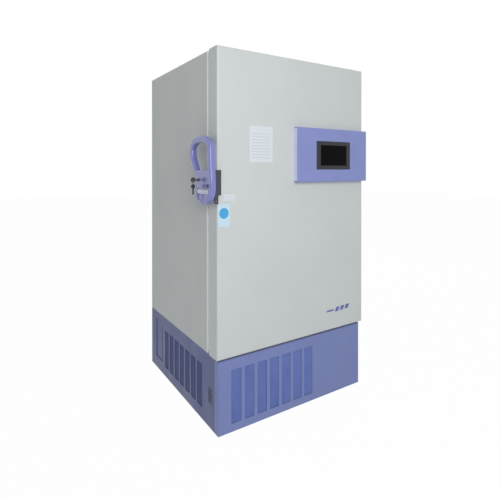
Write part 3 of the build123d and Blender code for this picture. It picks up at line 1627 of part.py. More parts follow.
# Fan housing: a plate and ring behind the condenser, with the motor on a spider
fan_centre = (condenser_left + condenser_width / 2, pan_top + condenser_height / 2)
ring_inside = fan_radius + fan_ring_gap
fan_plate_y = condenser_y + condenser_depth
ring_rear = fan_plate_y + fan_ring_depth
motor_front = ring_rear - spider_thickness
with BuildPart() as fan_housing:
    with BuildSketch(facing_front(fan_plate_y)):
        with Locations(fan_centre):
            Rectangle(2 * ring_inside + 30, condenser_height)
            Circle(ring_inside, mode=Mode.SUBTRACT)
    extrude(amount=-fan_plate)
    with BuildSketch(facing_front(fan_plate_y)):
        with Locations(fan_centre):
            Circle(ring_inside + fan_ring_wall)
            Circle(ring_inside, mode=Mode.SUBTRACT)
    extrude(amount=-fan_ring_depth)
    with BuildSketch(facing_front(motor_front)):
        with Locations(fan_centre):
            with PolarLocations(ring_inside / 2, spider_arms, start_angle=90):
                Rectangle(ring_inside + fan_ring_wall, spider_width)
            Circle(motor_radius)
    extrude(amount=-spider_thickness)
    with BuildSketch(facing_front(ring_rear)):
        with Locations(fan_centre):
            Circle(motor_radius)
    extrude(amount=-motor_length)
    fillet(fan_housing.faces().sort_by(Axis.Y)[-1].edges(), radius=6)
    with BuildSketch(facing_front(motor_front)):
        with Locations(fan_centre):
            Circle(fan_shaft_radius)
    extrude(amount=motor_front - fan_plate_y)
fan_housing.part.label = "fan_housing"
export_step(fan_housing.part, "parts/fan_housing.step")

# Fan: hub and pitched blades on the motor's shaft
hub_front = fan_plate_y + 6
hub_middle = hub_front + fan_hub_depth / 2
with BuildPart() as blade:
    with BuildSketch(Plane.YZ.offset(fan_hub_radius - 4)):
        Rectangle(fan_root_width, fan_blade_thickness, rotation=fan_root_pitch)
    with BuildSketch(Plane.YZ.offset(fan_radius - 2)):
        Rectangle(fan_tip_width, fan_blade_thickness, rotation=fan_tip_pitch)
    loft()
with BuildPart(facing_front(hub_middle)) as fan_blades:
    with Locations((fan_centre[0], fan_centre[1], 0)):
        Cylinder(fan_hub_radius, fan_hub_depth)
        with PolarLocations(0, fan_blades_count):
            add(blade.part)
        Cylinder(fan_shaft_radius + running, fan_hub_depth, mode=Mode.SUBTRACT)
fan_blades.part.label = "fan_blades"
export_step(fan_blades.part, "parts/fan_blades.step")

# Compressors: domed steel shells on feet, each with a stub for its line
compressor_places = {
    "compressor_first_stage": (cabinet_left + compressor_inset, door_front + compressor_first),
    "compressor_second_stage": (cabinet_left + compressor_inset, door_front + compressor_second),
}
for name, (x, y) in compressor_places.items():
    with BuildPart() as compressor:
        with BuildSketch(Plane.XY.offset(pan_top + compressor_foot)):
            with Locations((x, y)):
                Circle(compressor_radius)
        extrude(amount=compressor_height)
        fillet(compressor.edges().filter_by(GeomType.CIRCLE), radius=compressor_round)
        with BuildSketch(Plane.XY.offset(pan_top)):
            with Locations((x, y)):
                RectangleRounded(compressor_foot_size, compressor_foot_size, 20)
        extrude(amount=compressor_foot)
        with BuildSketch(Plane.XY.offset(pan_top + compressor_foot)):
            with Locations((x, y)):
                Circle(compressor_radius - compressor_round)
        extrude(amount=compressor_round / 2)
        with BuildSketch(Plane.XY.offset(pan_top + compressor_height / 2)):
            with Locations((x + stub_out, y)):
                Circle(stub_radius)
        extrude(amount=stub_top - compressor_height / 2)
        with BuildSketch(facing_side(x + compressor_radius - 12)):
            with Locations((y, pan_top + compressor_height / 2)):
                RectangleRounded(60, 76, 6)
        extrude(amount=34)
    compressor.part.label = name
    export_step(compressor.part, f"parts/{name}.step")

# Cascade heat exchanger: a brazed plate block with a stub
exchanger = (cabinet_left + exchanger_inset, door_front + exchanger_front)
with BuildPart() as cascade_exchanger:
    with BuildSketch(Plane.XY.offset(pan_top)):
        with Locations(exchanger):
            RectangleRounded(exchanger_width, exchanger_depth, 14)
    extrude(amount=exchanger_height)
    rib_pitch = exchanger_height / (exchanger_ribs + 1)
    for number in range(exchanger_ribs):
        with BuildSketch(Plane.XY.offset(pan_top + rib_pitch * (number + 1) - 5)):
            with Locations(exchanger):
                RectangleRounded(exchanger_width + 8, exchanger_depth + 8, 16)
        extrude(amount=10)
    with BuildSketch(Plane.XY.offset(pan_top + exchanger_height)):
        with Locations(exchanger):
            Circle(stub_radius)
    extrude(amount=stub_top - exchanger_height)
cascade_exchanger.part.label = "cascade_exchanger"
export_step(cascade_exchanger.part, "parts/cascade_exchanger.step")

# Refrigerant lines: discharge through the oil separator, and suction from the exchanger
first_stub = (compressor_places["compressor_first_stage"][0] + stub_out,
              compressor_places["compressor_first_stage"][1])
second_stub = (compressor_places["compressor_second_stage"][0] + stub_out,
               compressor_places["compressor_second_stage"][1])
separator = (cabinet_left + separator_inset, door_front + separator_front)
line_low = pan_top + stub_top
line_high = line_low + line_rise
line_runs = (
    (first_stub, separator, pan_top + separator_height),
    (second_stub, exchanger, line_low),
)
with BuildPart() as refrigerant_lines:
    for start, finish, end_height in line_runs:
        with BuildLine() as route:
            FilletPolyline(
                (*start, line_low), (*start, line_high), (*finish, line_high), (*finish, end_height),
                radius=line_bend,
            )
        with BuildSketch(Plane(origin=route.line @ 0, z_dir=route.line % 0)):
            Circle(line_radius)
        sweep(path=route.line)
    with BuildSketch(Plane.XY.offset(pan_top)):
        with Locations(separator):
            Circle(separator_radius)
    extrude(amount=separator_height)
    fillet(
        refrigerant_lines.edges().filter_by(GeomType.CIRCLE).group_by(SortBy.RADIUS)[-1], radius=14,
    )
refrigerant_lines.part.label = "refrigerant_lines"
export_step(refrigerant_lines.part, "parts/refrigerant_lines.step")

# Electrical box at the right, behind the plain part of the grille
electrical = (cabinet_right - box_inset - box_width, door_front + box_front)
with BuildPart() as electrical_box:
    with BuildSketch(Plane.XY.offset(pan_top)):
        span(electrical[0], electrical[0] + box_width, electrical[1], electrical[1] + box_depth)
    extrude(amount=box_height)
    fillet(electrical_box.edges().filter_by(Axis.Z), radius=6)
    with BuildSketch(Plane.XY.offset(pan_top + box_height)):
        span(
            electrical[0] - box_lid_margin, electrical[0] + box_width + box_lid_margin,
            electrical[1] - box_lid_margin, electrical[1] + box_depth + box_lid_margin, 8,
        )
    extrude(amount=box_lid)
electrical_box.part.label = "electrical_box"
export_step(electrical_box.part, "parts/electrical_box.step")
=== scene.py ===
# %% [markdown]
# # Dressing an upright ultra low temperature freezer
#
# The solid model of the freezer arrives as a fixed frame: every panel, hinge and wheel is already
# in its place, in metres, standing on the floor with its door towards -Y. This lesson gives it
# paint, plastic, rubber and metal, adds the thin pieces that a solid model leaves out, and sets
# up a studio and a camera.

from math import pi, radians

import bpy
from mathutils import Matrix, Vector


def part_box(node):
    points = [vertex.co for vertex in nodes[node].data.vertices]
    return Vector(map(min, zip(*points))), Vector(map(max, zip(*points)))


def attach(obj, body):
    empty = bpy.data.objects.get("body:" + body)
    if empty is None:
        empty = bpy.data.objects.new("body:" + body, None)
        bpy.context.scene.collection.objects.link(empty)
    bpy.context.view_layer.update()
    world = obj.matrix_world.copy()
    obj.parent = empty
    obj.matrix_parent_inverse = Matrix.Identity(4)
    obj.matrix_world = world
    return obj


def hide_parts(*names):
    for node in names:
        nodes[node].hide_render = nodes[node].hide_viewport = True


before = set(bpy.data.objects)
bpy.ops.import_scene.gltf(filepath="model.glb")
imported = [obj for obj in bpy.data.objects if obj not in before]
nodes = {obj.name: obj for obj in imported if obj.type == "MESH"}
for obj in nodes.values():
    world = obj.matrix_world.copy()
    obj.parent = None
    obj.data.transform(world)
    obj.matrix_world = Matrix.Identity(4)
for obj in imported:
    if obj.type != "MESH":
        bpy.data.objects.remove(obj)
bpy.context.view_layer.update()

# %% [markdown]
# ## Camera
#
# The freezer was photographed from its left front with an upright camera whose film was shifted
# down, so that the vertical edges stay parallel. A Blender camera does the same with a level
# rotation and shift_y. Its place was found by fitting the cabinet's corners.

# %% Camera
camera_place = (-1.4269, -2.2832, 1.3613)
camera_turn = radians(32.584)
camera_tip = radians(0.225)
camera_data = bpy.data.cameras.new("studio_camera")
camera_data.lens = 29.596
camera_data.sensor_width = 36.0
camera_data.shift_y = -0.1581
camera = bpy.data.objects.new("studio_camera", camera_data)
camera.location = camera_place
camera.rotation_euler = (pi / 2 - camera_tip, 0.0, -camera_turn)
bpy.context.scene.collection.objects.link(camera)
bpy.context.scene.camera = camera

# %% [markdown]
# ## Colours
#
# Colours are written as screen values from 0 to 255, and shaders want linear light, so one small
# helper turns the first into the second.


# %% Screen colour to linear colour
def tint(red, green, blue):
    """A screen colour as a linear colour with full alpha."""
    linear = []
    for value in (red, green, blue):
        share = value / 255
        linear.append(share / 12.92 if share <= 0.04045 else ((share + 0.055) / 1.055) ** 2.4)
    return (*linear, 1.0)


# %% [markdown]
# ## Studio
#
# The light is plain: a white surround for everything, and one large soft lamp in front on the left,
# so that the door is brightest at its left edge and the cabinet's side stays darker. A second lamp
# behind on the right keeps the far sides from going dark. The camera, mirrors and glass see pure
# white, while the surfaces are lit by less.

# %% World
world = bpy.data.worlds.new("studio_world")
bpy.context.scene.world = world
world.use_nodes = True
sky = world.node_tree
sky.nodes.clear()
sky_out = sky.nodes.new("ShaderNodeOutputWorld")
sky_seen = sky.nodes.new("ShaderNodeBackground")
sky_seen.inputs["Color"].default_value = (1, 1, 1, 1)
sky_seen.inputs["Strength"].default_value = 1.0
sky_lit = sky.nodes.new("ShaderNodeBackground")
sky_lit.inputs["Color"].default_value = (0.96, 0.98, 1.0, 1)
sky_lit.inputs["Strength"].default_value = 0.36
sky_mix = sky.nodes.new("ShaderNodeMixShader")


def seen_by_eye(tree):
    """A value that is 1 for camera, mirror and glass rays, in a world or a material."""
    path = tree.nodes.new("ShaderNodeLightPath")
    first = tree.nodes.new("ShaderNodeMath")
    first.operation = "MAXIMUM"
    tree.links.new(path.outputs["Is Camera Ray"], first.inputs[0])
    tree.links.new(path.outputs["Is Glossy Ray"], first.inputs[1])
    second = tree.nodes.new("ShaderNodeMath")
    second.operation = "MAXIMUM"
    tree.links.new(first.outputs[0], second.inputs[0])
    tree.links.new(path.outputs["Is Transmission Ray"], second.inputs[1])
    return second.outputs[0]


sky.links.new(seen_by_eye(sky), sky_mix.inputs[0])
sky.links.new(sky_lit.outputs[0], sky_mix.inputs[1])
sky.links.new(sky_seen.outputs[0], sky_mix.inputs[2])
sky.links.new(sky_mix.outputs[0], sky_out.inputs["Surface"])
bpy.context.scene.view_settings.view_transform = "Standard"


# %% Lamps
def soft_lamp(name, place, aim, size, power):
    """A square area lamp that looks at a point."""
    data = bpy.data.lights.new(name, "AREA")
    data.shape = "SQUARE"
    data.size = size
    data.energy = power
    lamp = bpy.data.objects.new(name, data)
    lamp.location = place
    lamp.rotation_euler = (Vector(aim) - Vector(place)).to_track_quat("-Z", "Y").to_euler()
    bpy.context.scene.collection.objects.link(lamp)
    return lamp


soft_lamp("key_lamp", (-1.35, -3.5, 2.3), (-0.3, -0.2, 1.1), 1.8, 68)
soft_lamp("rim_lamp", (3.4, 2.6, 3.0), (0.0, 0.0, 1.0), 2.5, 40)


# %% [markdown]
# ## Working with operators
#
# New pieces are modelled as by hand: a primitive at its place, edit mode, then modifiers that are
# applied. Operators act on what is selected, so the helpers below clear the selection first, pick
# faces and edges by where they are, and in the end bring a piece's origin back to the world's.


# %% Helpers for modelling
def nothing_selected():
    """Object mode with nothing selected."""
    if bpy.context.object and bpy.context.object.mode != "OBJECT":
        bpy.ops.object.mode_set(mode="OBJECT")
    bpy.ops.object.select_all(action="DESELECT")


def make_active(piece):
    """Select one object and make it the active one."""
    nothing_selected()
    piece.select_set(True)
    bpy.context.view_layer.objects.active = piece


def block(name, low, high):
    """A box between two corners, as the start of a piece."""
    nothing_selected()
    middle = [(a + b) / 2 for a, b in zip(low, high)]
    bpy.ops.mesh.primitive_cube_add(size=1, location=middle)
    piece = bpy.context.object
    piece.name = name
    piece.data.name = name
    piece.scale = [b - a for a, b in zip(low, high)]
    bpy.ops.object.transform_apply(location=True, rotation=True, scale=True)
    return piece


def rod(name, start, end, radius, sides=24):
    """A closed cylinder from one point to another."""
    nothing_selected()
    start, end = Vector(start), Vector(end)
    bpy.ops.mesh.primitive_cylinder_add(
        radius=radius, depth=(end - start).length, vertices=sides, location=(start + end) / 2,
        rotation=(end - start).to_track_quat("Z", "Y").to_euler(),
    )
    piece = bpy.context.object
    piece.name = name
    piece.data.name = name
    bpy.ops.object.transform_apply(location=True, rotation=True, scale=True)
    return piece


def pick(piece, kind, test):
    """In edit mode, select the faces, edges or vertices whose middle passes a test."""
    bpy.context.view_layer.objects.active = piece
    bpy.ops.object.mode_set(mode="EDIT")
    bpy.ops.mesh.select_all(action="DESELECT")
    bpy.ops.mesh.select_mode(type=kind)
    bpy.ops.object.mode_set(mode="OBJECT")
    mesh = piece.data
    points = mesh.vertices
    if kind == "FACE":
        for face in mesh.polygons:
            face.select = test(face.center, face.normal)
    elif kind == "EDGE":
        for edge in mesh.edges:
            a, b = (points[i].co for i in edge.vertices)
            edge.select = test((a + b) / 2, (b - a).normalized())
    else:
        for point in points:
            point.select = test(point.co, point.normal)
    bpy.ops.object.mode_set(mode="EDIT")


def done_editing(piece):
    """Leave edit mode with the piece active."""
    bpy.ops.object.mode_set(mode="OBJECT")
    make_active(piece)


def add_modifier(piece, kind, **settings):
    """Add a modifier, set it up and apply it."""
    make_active(piece)
    modifier = piece.modifiers.new(kind.lower(), kind)
    for key, value in settings.items():
        setattr(modifier, key, value)
    bpy.ops.object.modifier_apply(modifier=modifier.name)


def soften(piece, width, segments=2, angle=35):
    """Round a piece's edges with a bevel and shade it smooth."""
    add_modifier(
        piece, "BEVEL", width=width, segments=segments, limit_method="ANGLE",
        angle_limit=radians(angle),
    )
    bpy.ops.object.shade_smooth_by_angle(angle=radians(40))


def joined(name, parts):
    """Join parts into one piece."""
    nothing_selected()
    for part in parts:
        part.select_set(True)
    bpy.context.view_layer.objects.active = parts[0]
    bpy.ops.object.join()
    piece = bpy.context.object
    piece.name = name
    piece.data.name = name
    return piece


def hand_over(piece, body, material):
    """Give a finished piece its body and material."""
    piece.data.materials.clear()
    piece.data.materials.append(material)
    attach(piece, body)
    return piece


# %% [markdown]
# ## Shared surface effects
#
# Several finishes share the same causes: powder coat settles in a fine orange peel, moulded
# plastic carries a grain, metal shows the brush, and dust lies where it can. Each effect is one
# node group that reads a position and gives masks or heights, and each material uses it with its
# own values.


# %% A small kit for node groups
def new_group(name, inputs, outputs):
    """A shader node group with float inputs (name: default) and float outputs, plus a position."""
    group = bpy.data.node_groups.new(name, "ShaderNodeTree")
    group.interface.new_socket("Position", in_out="INPUT", socket_type="NodeSocketVector")
    for key, value in inputs.items():
        socket = group.interface.new_socket(key, in_out="INPUT", socket_type="NodeSocketFloat")
        socket.default_value = value
    for key in outputs:
        group.interface.new_socket(key, in_out="OUTPUT", socket_type="NodeSocketFloat")
    start = group.nodes.new("NodeGroupInput")
    finish = group.nodes.new("NodeGroupOutput")
    return group, start, finish


def noise(tree, position, scale, detail=3.0, roughness=0.5):
    """A noise texture whose scale is a number or a socket."""
    node = tree.nodes.new("ShaderNodeTexNoise")
    node.inputs["Detail"].default_value = detail
    node.inputs["Roughness"].default_value = roughness
    tree.links.new(position, node.inputs["Vector"])
    if isinstance(scale, (int, float)):
        node.inputs["Scale"].default_value = scale
    else:
        tree.links.new(scale, node.inputs["Scale"])
    return node.outputs["Fac"]


def sum_up(tree, operation, *values):
    """A maths node on sockets and numbers."""
    node = tree.nodes.new("ShaderNodeMath")
    node.operation = operation
    for index, value in enumerate(values):
        if isinstance(value, (int, float)):
            node.inputs[index].default_value = value
        else:
            tree.links.new(value, node.inputs[index])
    return node.outputs[0]


def remap(tree, value, low, high, to_low=0.0, to_high=1.0):
    """A clamped map from one range to another."""
    node = tree.nodes.new("ShaderNodeMapRange")
    node.clamp = True
    for key, number in (("From Min", low), ("From Max", high), ("To Min", to_low), ("To Max", to_high)):
        node.inputs[key].default_value = number
    tree.links.new(value, node.inputs["Value"])
    return node.outputs["Result"]


# %% Orange peel of a powder coat
peel_group, start, finish = new_group("powder_coat_peel", {"Cell": 240.0}, ("Height", "Tone"))
peel_wave = noise(peel_group, start.outputs["Position"], start.outputs["Cell"], 1.0)
peel_speck = noise(peel_group, start.outputs["Position"], 1900.0, 2.0)
peel_height = sum_up(peel_group, "MULTIPLY_ADD", peel_speck, 0.18, peel_wave)
peel_group.links.new(peel_height, finish.inputs["Height"])
peel_cloud = noise(peel_group, start.outputs["Position"], 2.6, 4.0, 0.6)
peel_group.links.new(remap(peel_group, peel_cloud, 0.3, 0.7), finish.inputs["Tone"])

# %% Grain of moulded plastic and rubber
grain_group, start, finish = new_group("moulded_grain", {"Cell": 900.0}, ("Height", "Tone"))
grain_cells = grain_group.nodes.new("ShaderNodeTexVoronoi")
grain_cells.feature = "SMOOTH_F1"
grain_group.links.new(start.outputs["Position"], grain_cells.inputs["Vector"])
grain_group.links.new(start.outputs["Cell"], grain_cells.inputs["Scale"])
grain_fine = noise(grain_group, start.outputs["Position"], 2600.0, 2.0)
grain_height = sum_up(grain_group, "MULTIPLY_ADD", grain_fine, 0.4, grain_cells.outputs["Distance"])
grain_group.links.new(grain_height, finish.inputs["Height"])
grain_cloud = noise(grain_group, start.outputs["Position"], 9.0, 4.0, 0.6)
grain_group.links.new(remap(grain_group, grain_cloud, 0.3, 0.7), finish.inputs["Tone"])

# %% Brush marks of metal
brush_group, start, finish = new_group("brush_marks", {"Stretch": 40.0}, ("Height", "Tone"))
brush_map = brush_group.nodes.new("ShaderNodeMapping")
brush_map.inputs["Scale"].default_value = (60.0, 1400.0, 1400.0)
brush_group.links.new(start.outputs["Position"], brush_map.inputs["Vector"])
brush_lines = noise(brush_group, brush_map.outputs["Vector"], 1.0, 3.0, 0.7)
brush_group.links.new(brush_lines, finish.inputs["Height"])
brush_cloud = noise(brush_group, start.outputs["Position"], start.outputs["Stretch"], 3.0)
brush_group.links.new(remap(brush_group, brush_cloud, 0.35, 0.65), finish.inputs["Tone"])

# %% Dust: on faces that look up, and in a low band above the floor
dust_group, start, finish = new_group("settled_dust", {"Amount": 0.5, "Floor Band": 0.25}, ("Mask",))
dust_shape = dust_group.nodes.new("ShaderNodeNewGeometry")
dust_normal = dust_group.nodes.new("ShaderNodeSeparateXYZ")
dust_group.links.new(dust_shape.outputs["Normal"], dust_normal.inputs[0])
dust_up = remap(dust_group, dust_normal.outputs["Z"], 0.5, 1.0)
dust_place = dust_group.nodes.new("ShaderNodeSeparateXYZ")
dust_group.links.new(start.outputs["Position"], dust_place.inputs[0])
dust_near = sum_up(dust_group, "DIVIDE", dust_place.outputs["Z"], start.outputs["Floor Band"])
dust_low = remap(dust_group, dust_near, 0.0, 1.0, 0.6, 0.0)
dust_where = sum_up(dust_group, "MAXIMUM", dust_up, dust_low)
dust_patch = remap(dust_group, noise(dust_group, start.outputs["Position"], 14.0, 5.0, 0.65), 0.3, 0.75)
dust_share = sum_up(dust_group, "MULTIPLY", dust_where, dust_patch)
dust_mask = sum_up(dust_group, "MULTIPLY", dust_share, start.outputs["Amount"])
dust_group.links.new(dust_mask, finish.inputs["Mask"])

# %% Smears left by hands and cloths, for roughness
smear_group, start, finish = new_group("wiped_smears", {"Low": 0.3, "High": 0.5}, ("Roughness",))
smear_map = smear_group.nodes.new("ShaderNodeMapping")
smear_map.inputs["Scale"].default_value = (5.0, 5.0, 1.6)
smear_map.inputs["Rotation"].default_value = (0.3, 0.2, 0.4)
smear_group.links.new(start.outputs["Position"], smear_map.inputs["Vector"])
smear_noise = noise(smear_group, smear_map.outputs["Vector"], 1.4, 5.0, 0.62)
smear_cloud = remap(smear_group, smear_noise, 0.3, 0.7)
smear_span = sum_up(smear_group, "SUBTRACT", start.outputs["High"], start.outputs["Low"])
smear_value = sum_up(smear_group, "MULTIPLY_ADD", smear_cloud, smear_span, start.outputs["Low"])
smear_group.links.new(smear_value, finish.inputs["Roughness"])
print("effect groups:", len(bpy.data.node_groups))

# %% [markdown]
# ## One recipe for most finishes
#
# A finish is a colour with a slightly different second tone, a relief of the right scale, a
# roughness that wanders between two values, and some dust. The recipe takes those numbers and
# wires the shared groups to one Principled shader, which stays in the material itself.

# %% The recipe
relief_groups = {"peel": peel_group, "grain": grain_group, "brush": brush_group}
dust_colour = tint(176, 172, 164)


def place_group(tree, group, position, **values):
    """Put a shared group into a material."""
    node = tree.nodes.new("ShaderNodeGroup")
    node.node_tree = group
    tree.links.new(position, node.inputs["Position"])
    for key, value in values.items():
        node.inputs[key.replace("_", " ")].default_value = value
    return node


def colour_mix(tree, share, first, second):
    """Mix two colours, given as sockets or as values."""
    node = tree.nodes.new("ShaderNodeMix")
    node.data_type = "RGBA"
    for key, value in ((0, share), (6, first), (7, second)):
        if isinstance(value, (int, float, tuple)):
            node.inputs[key].default_value = value
        else:
            tree.links.new(value, node.inputs[key])
    return node.outputs[2]


def finish_of(
    name, colour, second, relief, cell=None, depth=0.00004, rough=(0.3, 0.45), dust=0.3,
    metallic=0.0, coat=0.0, floor_band=0.25,
):
    """A material from the recipe. Colours are screen values, depths are metres."""
    material = bpy.data.materials.new(name)
    material.use_nodes = True
    tree = material.node_tree
    shader = tree.nodes["Principled BSDF"]
    position = tree.nodes.new("ShaderNodeTexCoord").outputs["Object"]
    settings = {} if cell is None else {"Cell": cell}
    surface = place_group(tree, relief_groups[relief], position, **settings)
    mixed = colour_mix(tree, surface.outputs["Tone"], tint(*colour), tint(*second))
    film = place_group(tree, dust_group, position, Amount=dust, Floor_Band=floor_band)
    tree.links.new(
        colour_mix(tree, film.outputs["Mask"], mixed, dust_colour), shader.inputs["Base Color"]
    )
    smears = place_group(tree, smear_group, position, Low=rough[0], High=rough[1])
    tree.links.new(smears.outputs["Roughness"], shader.inputs["Roughness"])
    bump = tree.nodes.new("ShaderNodeBump")
    bump.inputs["Distance"].default_value = depth
    bump.inputs["Strength"].default_value = 1.0
    tree.links.new(surface.outputs["Height"], bump.inputs["Height"])
    tree.links.new(bump.outputs["Normal"], shader.inputs["Normal"])
    shader.inputs["Metallic"].default_value = metallic
    shader.inputs["Coat Weight"].default_value = coat
    return material


def dress(material, *names):
    """Give CAD nodes a material."""
    for name in names:
        slots = nodes[name].data.materials
        slots.clear()
        slots.append(material)


# %% [markdown]
# ## Cabinet and door
#
# The wrap, back and door pan are steel with a pale grey powder coat: a soft gloss, a fine orange
# peel, and very little else. The wrap and back take a slightly darker copy of the coat, which is
# painted shade for the sides away from the lamp. The collar and inner panel are plastic and the
# seal is rubber. All three are nearly white, so the joint between door and cabinet reads as a pale
# strip.

# %% Cabinet and door finishes
pale_coat = finish_of(
    "pale_powder_coat", (210, 214, 213), (206, 211, 209), "peel", 240.0, 0.00005, (0.34, 0.46), 0.12,
    floor_band=0.05,
)
# A darker copy of the pale coat: painted shade on the cabinet's wrap and back.
painted_shade_side_coat = finish_of(
    "pale_powder_coat_painted_shade", (206, 209, 206), (201, 205, 203), "peel", 240.0, 0.00005, (0.38, 0.5),
    0.12, floor_band=0.05,
)
pale_plastic = finish_of(
    "pale_moulded_plastic", (240, 242, 240), (236, 238, 236), "grain", 900.0, 0.00003, (0.42, 0.55), 0.1,
)
seal_rubber = finish_of(
    "pale_seal_rubber", (246, 248, 246), (240, 243, 241), "grain", 1400.0, 0.00003, (0.6, 0.75), 0.2,
)
liner_coat = finish_of(
    "white_liner_coat", (222, 225, 226), (216, 220, 222), "peel", 300.0, 0.00003, (0.28, 0.4), 0.05,
)
foam_skin = finish_of(
    "rigid_foam", (222, 202, 158), (206, 184, 138), "grain", 300.0, 0.0004, (0.8, 0.95), 0.0,
)
dress(pale_coat, "door_skin")
dress(painted_shade_side_coat, "cabinet_shell", "cabinet_back_panel")
dress(pale_plastic, "breaker_collar", "door_inner_panel")
dress(seal_rubber, "door_seal")
dress(liner_coat, "inner_liner", "inner_door_upper", "inner_door_lower")
dress(foam_skin, "cabinet_foam", "door_foam")

# %% [markdown]
# ## The violet pieces
#
# The base panels are coated steel. The sides take a darker copy of the same coat, which is painted
# shade. The control housing is moulded plastic in a lighter violet, with a nearly black bezel round
# its screen. The lever is plastic too and glossier, since hands polish it.

# %% Violet finishes
base_coat = finish_of(
    "violet_powder_coat", (124, 136, 190), (119, 131, 185), "peel", 260.0, 0.00005, (0.36, 0.5), 0.25,
    floor_band=0.12,
)
# A darker copy of the violet coat: painted shade on the base's side panels.
base_painted_shade_coat = finish_of(
    "violet_powder_coat_painted_shade", (90, 100, 150), (84, 94, 143), "peel", 260.0, 0.00005, (0.4, 0.55), 0.2,
    floor_band=0.12,
)
housing_plastic = finish_of(
    "violet_moulded_plastic", (139, 149, 205), (133, 143, 199), "grain", 900.0, 0.00003, (0.38, 0.5),
    0.1,
)
lever_plastic = finish_of(
    "violet_lever_plastic", (124, 128, 196), (116, 120, 188), "grain", 1300.0, 0.00001, (0.14, 0.26),
    0.0, coat=0.7,
)
bezel_plastic = finish_of(
    "dark_bezel_plastic", (26, 27, 38), (21, 22, 32), "grain", 1100.0, 0.00002, (0.22, 0.34), 0.05,
)
inlay_plastic = finish_of(
    "pale_inlay_plastic", (214, 216, 236), (206, 209, 231), "grain", 1500.0, 0.00001, (0.15, 0.28), 0.0,
    coat=0.5,
)
dress(base_coat, "front_grille", "rear_cover")
dress(base_painted_shade_coat, "base_side_left", "base_side_right")
dress(housing_plastic, "control_housing")
dress(bezel_plastic, "display_bezel")
dress(lever_plastic, "lever")
dress(inlay_plastic, "lever_inlay")

# %% [markdown]
# ## Metals, rubber and dark plastic
#
# Hinges, shelves and caster forks are plain metal with brush marks. The bracket under the lever
# is painted nearly black, and so are the compressors. The base frame takes the violet of the
# panels around it.

# %% Metal and dark finishes
brushed_steel = finish_of(
    "brushed_hinge_steel", (176, 177, 179), (158, 160, 163), "brush", None, 0.00002, (0.25, 0.42), 0.1,
    metallic=1.0,
)
shelf_steel = finish_of(
    "brushed_shelf_steel", (198, 200, 202), (184, 187, 190), "brush", None, 0.00002, (0.24, 0.36), 0.05,
    metallic=1.0,
)
zinc_plate = finish_of(
    "zinc_plate", (188, 190, 190), (168, 170, 168), "brush", None, 0.00001, (0.3, 0.5), 0.3,
    metallic=1.0,
)
lock_chrome = finish_of(
    "lock_chrome", (120, 121, 128), (104, 105, 112), "brush", None, 0.00001, (0.14, 0.25), 0.0,
    metallic=1.0,
)
key_nickel = finish_of(
    "key_nickel", (96, 96, 96), (78, 78, 80), "brush", None, 0.00001, (0.2, 0.34), 0.0, metallic=1.0,
)
copper_tube = finish_of(
    "copper_tube", (196, 122, 88), (168, 96, 66), "brush", None, 0.00001, (0.25, 0.45), 0.1,
    metallic=1.0,
)
fin_aluminium = finish_of(
    "fin_aluminium", (190, 192, 194), (172, 174, 178), "brush", None, 0.00002, (0.3, 0.45), 0.3,
    metallic=1.0,
)
frame_coat = finish_of(
    "violet_frame_coat", (116, 126, 176), (108, 118, 168), "peel", 240.0, 0.00005, (0.4, 0.55), 0.4,
)
bracket_paint = finish_of(
    "dark_bracket_paint", (66, 66, 76), (58, 58, 68), "peel", 400.0, 0.00003, (0.34, 0.48), 0.05,
)
compressor_paint = finish_of(
    "black_compressor_paint", (34, 34, 36), (28, 28, 30), "peel", 200.0, 0.00006, (0.2, 0.35), 0.3,
)
black_rubber = finish_of(
    "black_rubber", (38, 38, 41), (31, 31, 34), "grain", 700.0, 0.00005, (0.6, 0.75), 0.3,
)
black_plastic = finish_of(
    "black_moulded_plastic", (34, 35, 44), (29, 30, 38), "grain", 900.0, 0.00003, (0.35, 0.5), 0.1,
)
plate_plastic = finish_of(
    "dark_violet_plate", (66, 76, 116), (60, 70, 108), "grain", 900.0, 0.00003, (0.35, 0.5), 0.1,
)
sleeve_foam = finish_of(
    "insulation_sleeve", (44, 45, 48), (36, 37, 40), "grain", 500.0, 0.0001, (0.7, 0.85), 0.3,
)
box_plastic = finish_of(
    "grey_box_plastic", (152, 156, 162), (144, 148, 154), "grain", 700.0, 0.00003, (0.45, 0.6), 0.25,
)
board_green = finish_of(
    "board_laminate", (28, 96, 62), (22, 84, 54), "grain", 600.0, 0.00003, (0.3, 0.45), 0.1,
)
wheel_nylon = finish_of(
    "wheel_nylon", (52, 52, 56), (44, 44, 48), "grain", 800.0, 0.00003, (0.4, 0.55), 0.4,
)
dress(brushed_steel, "hinge_brackets", "hinge_leaves", "inner_hinge_brackets", "striker", "latch_hook")
dress(shelf_steel, "shelves")
dress(zinc_plate, "panel_screws", "levelling_foot_left", "levelling_foot_right")
dress(lock_chrome, "lock_cylinder")
dress(key_nickel, "key", "hanging_key")
dress(copper_tube, "evaporator_coil", "refrigerant_lines")
dress(fin_aluminium, "condenser", "fan_blades")
dress(frame_coat, "base_frame", "fan_housing")
dress(bracket_paint, "lever_bracket")
dress(compressor_paint, "compressor_first_stage", "compressor_second_stage")
dress(black_rubber, "access_port", "wall_bumpers", "port_cap")
dress(black_plastic, "power_switch", "alarm_switch", "cord_gland")
dress(plate_plastic, "switch_plate")
dress(sleeve_foam, "cascade_exchanger")
dress(box_plastic, "electrical_box")
dress(board_green, "control_board")
caster_ends = ("front_left", "front_right", "rear_left", "rear_right")
dress(zinc_plate, *(f"caster_fork_{end}" for end in caster_ends))
dress(wheel_nylon, *(f"caster_wheel_{end}" for end in caster_ends))

# %% [markdown]
# ## The screen
#
# A touch screen that is off is a dark, warm black behind smooth glass. Nothing shows through it,
# so an opaque dielectric does the work. A low specular level stands for the film that keeps it from
# mirroring the room, and finger smears live in its roughness.

# %% Screen finish
screen_glass = finish_of(
    "dark_screen_glass", (8, 6, 7), (6, 5, 6), "grain", 1500.0, 0.000001, (0.12, 0.22), 0.0,
)
screen_glass.node_tree.nodes["Principled BSDF"].inputs["Specular IOR Level"].default_value = 0.05
dress(screen_glass, "display_glass")

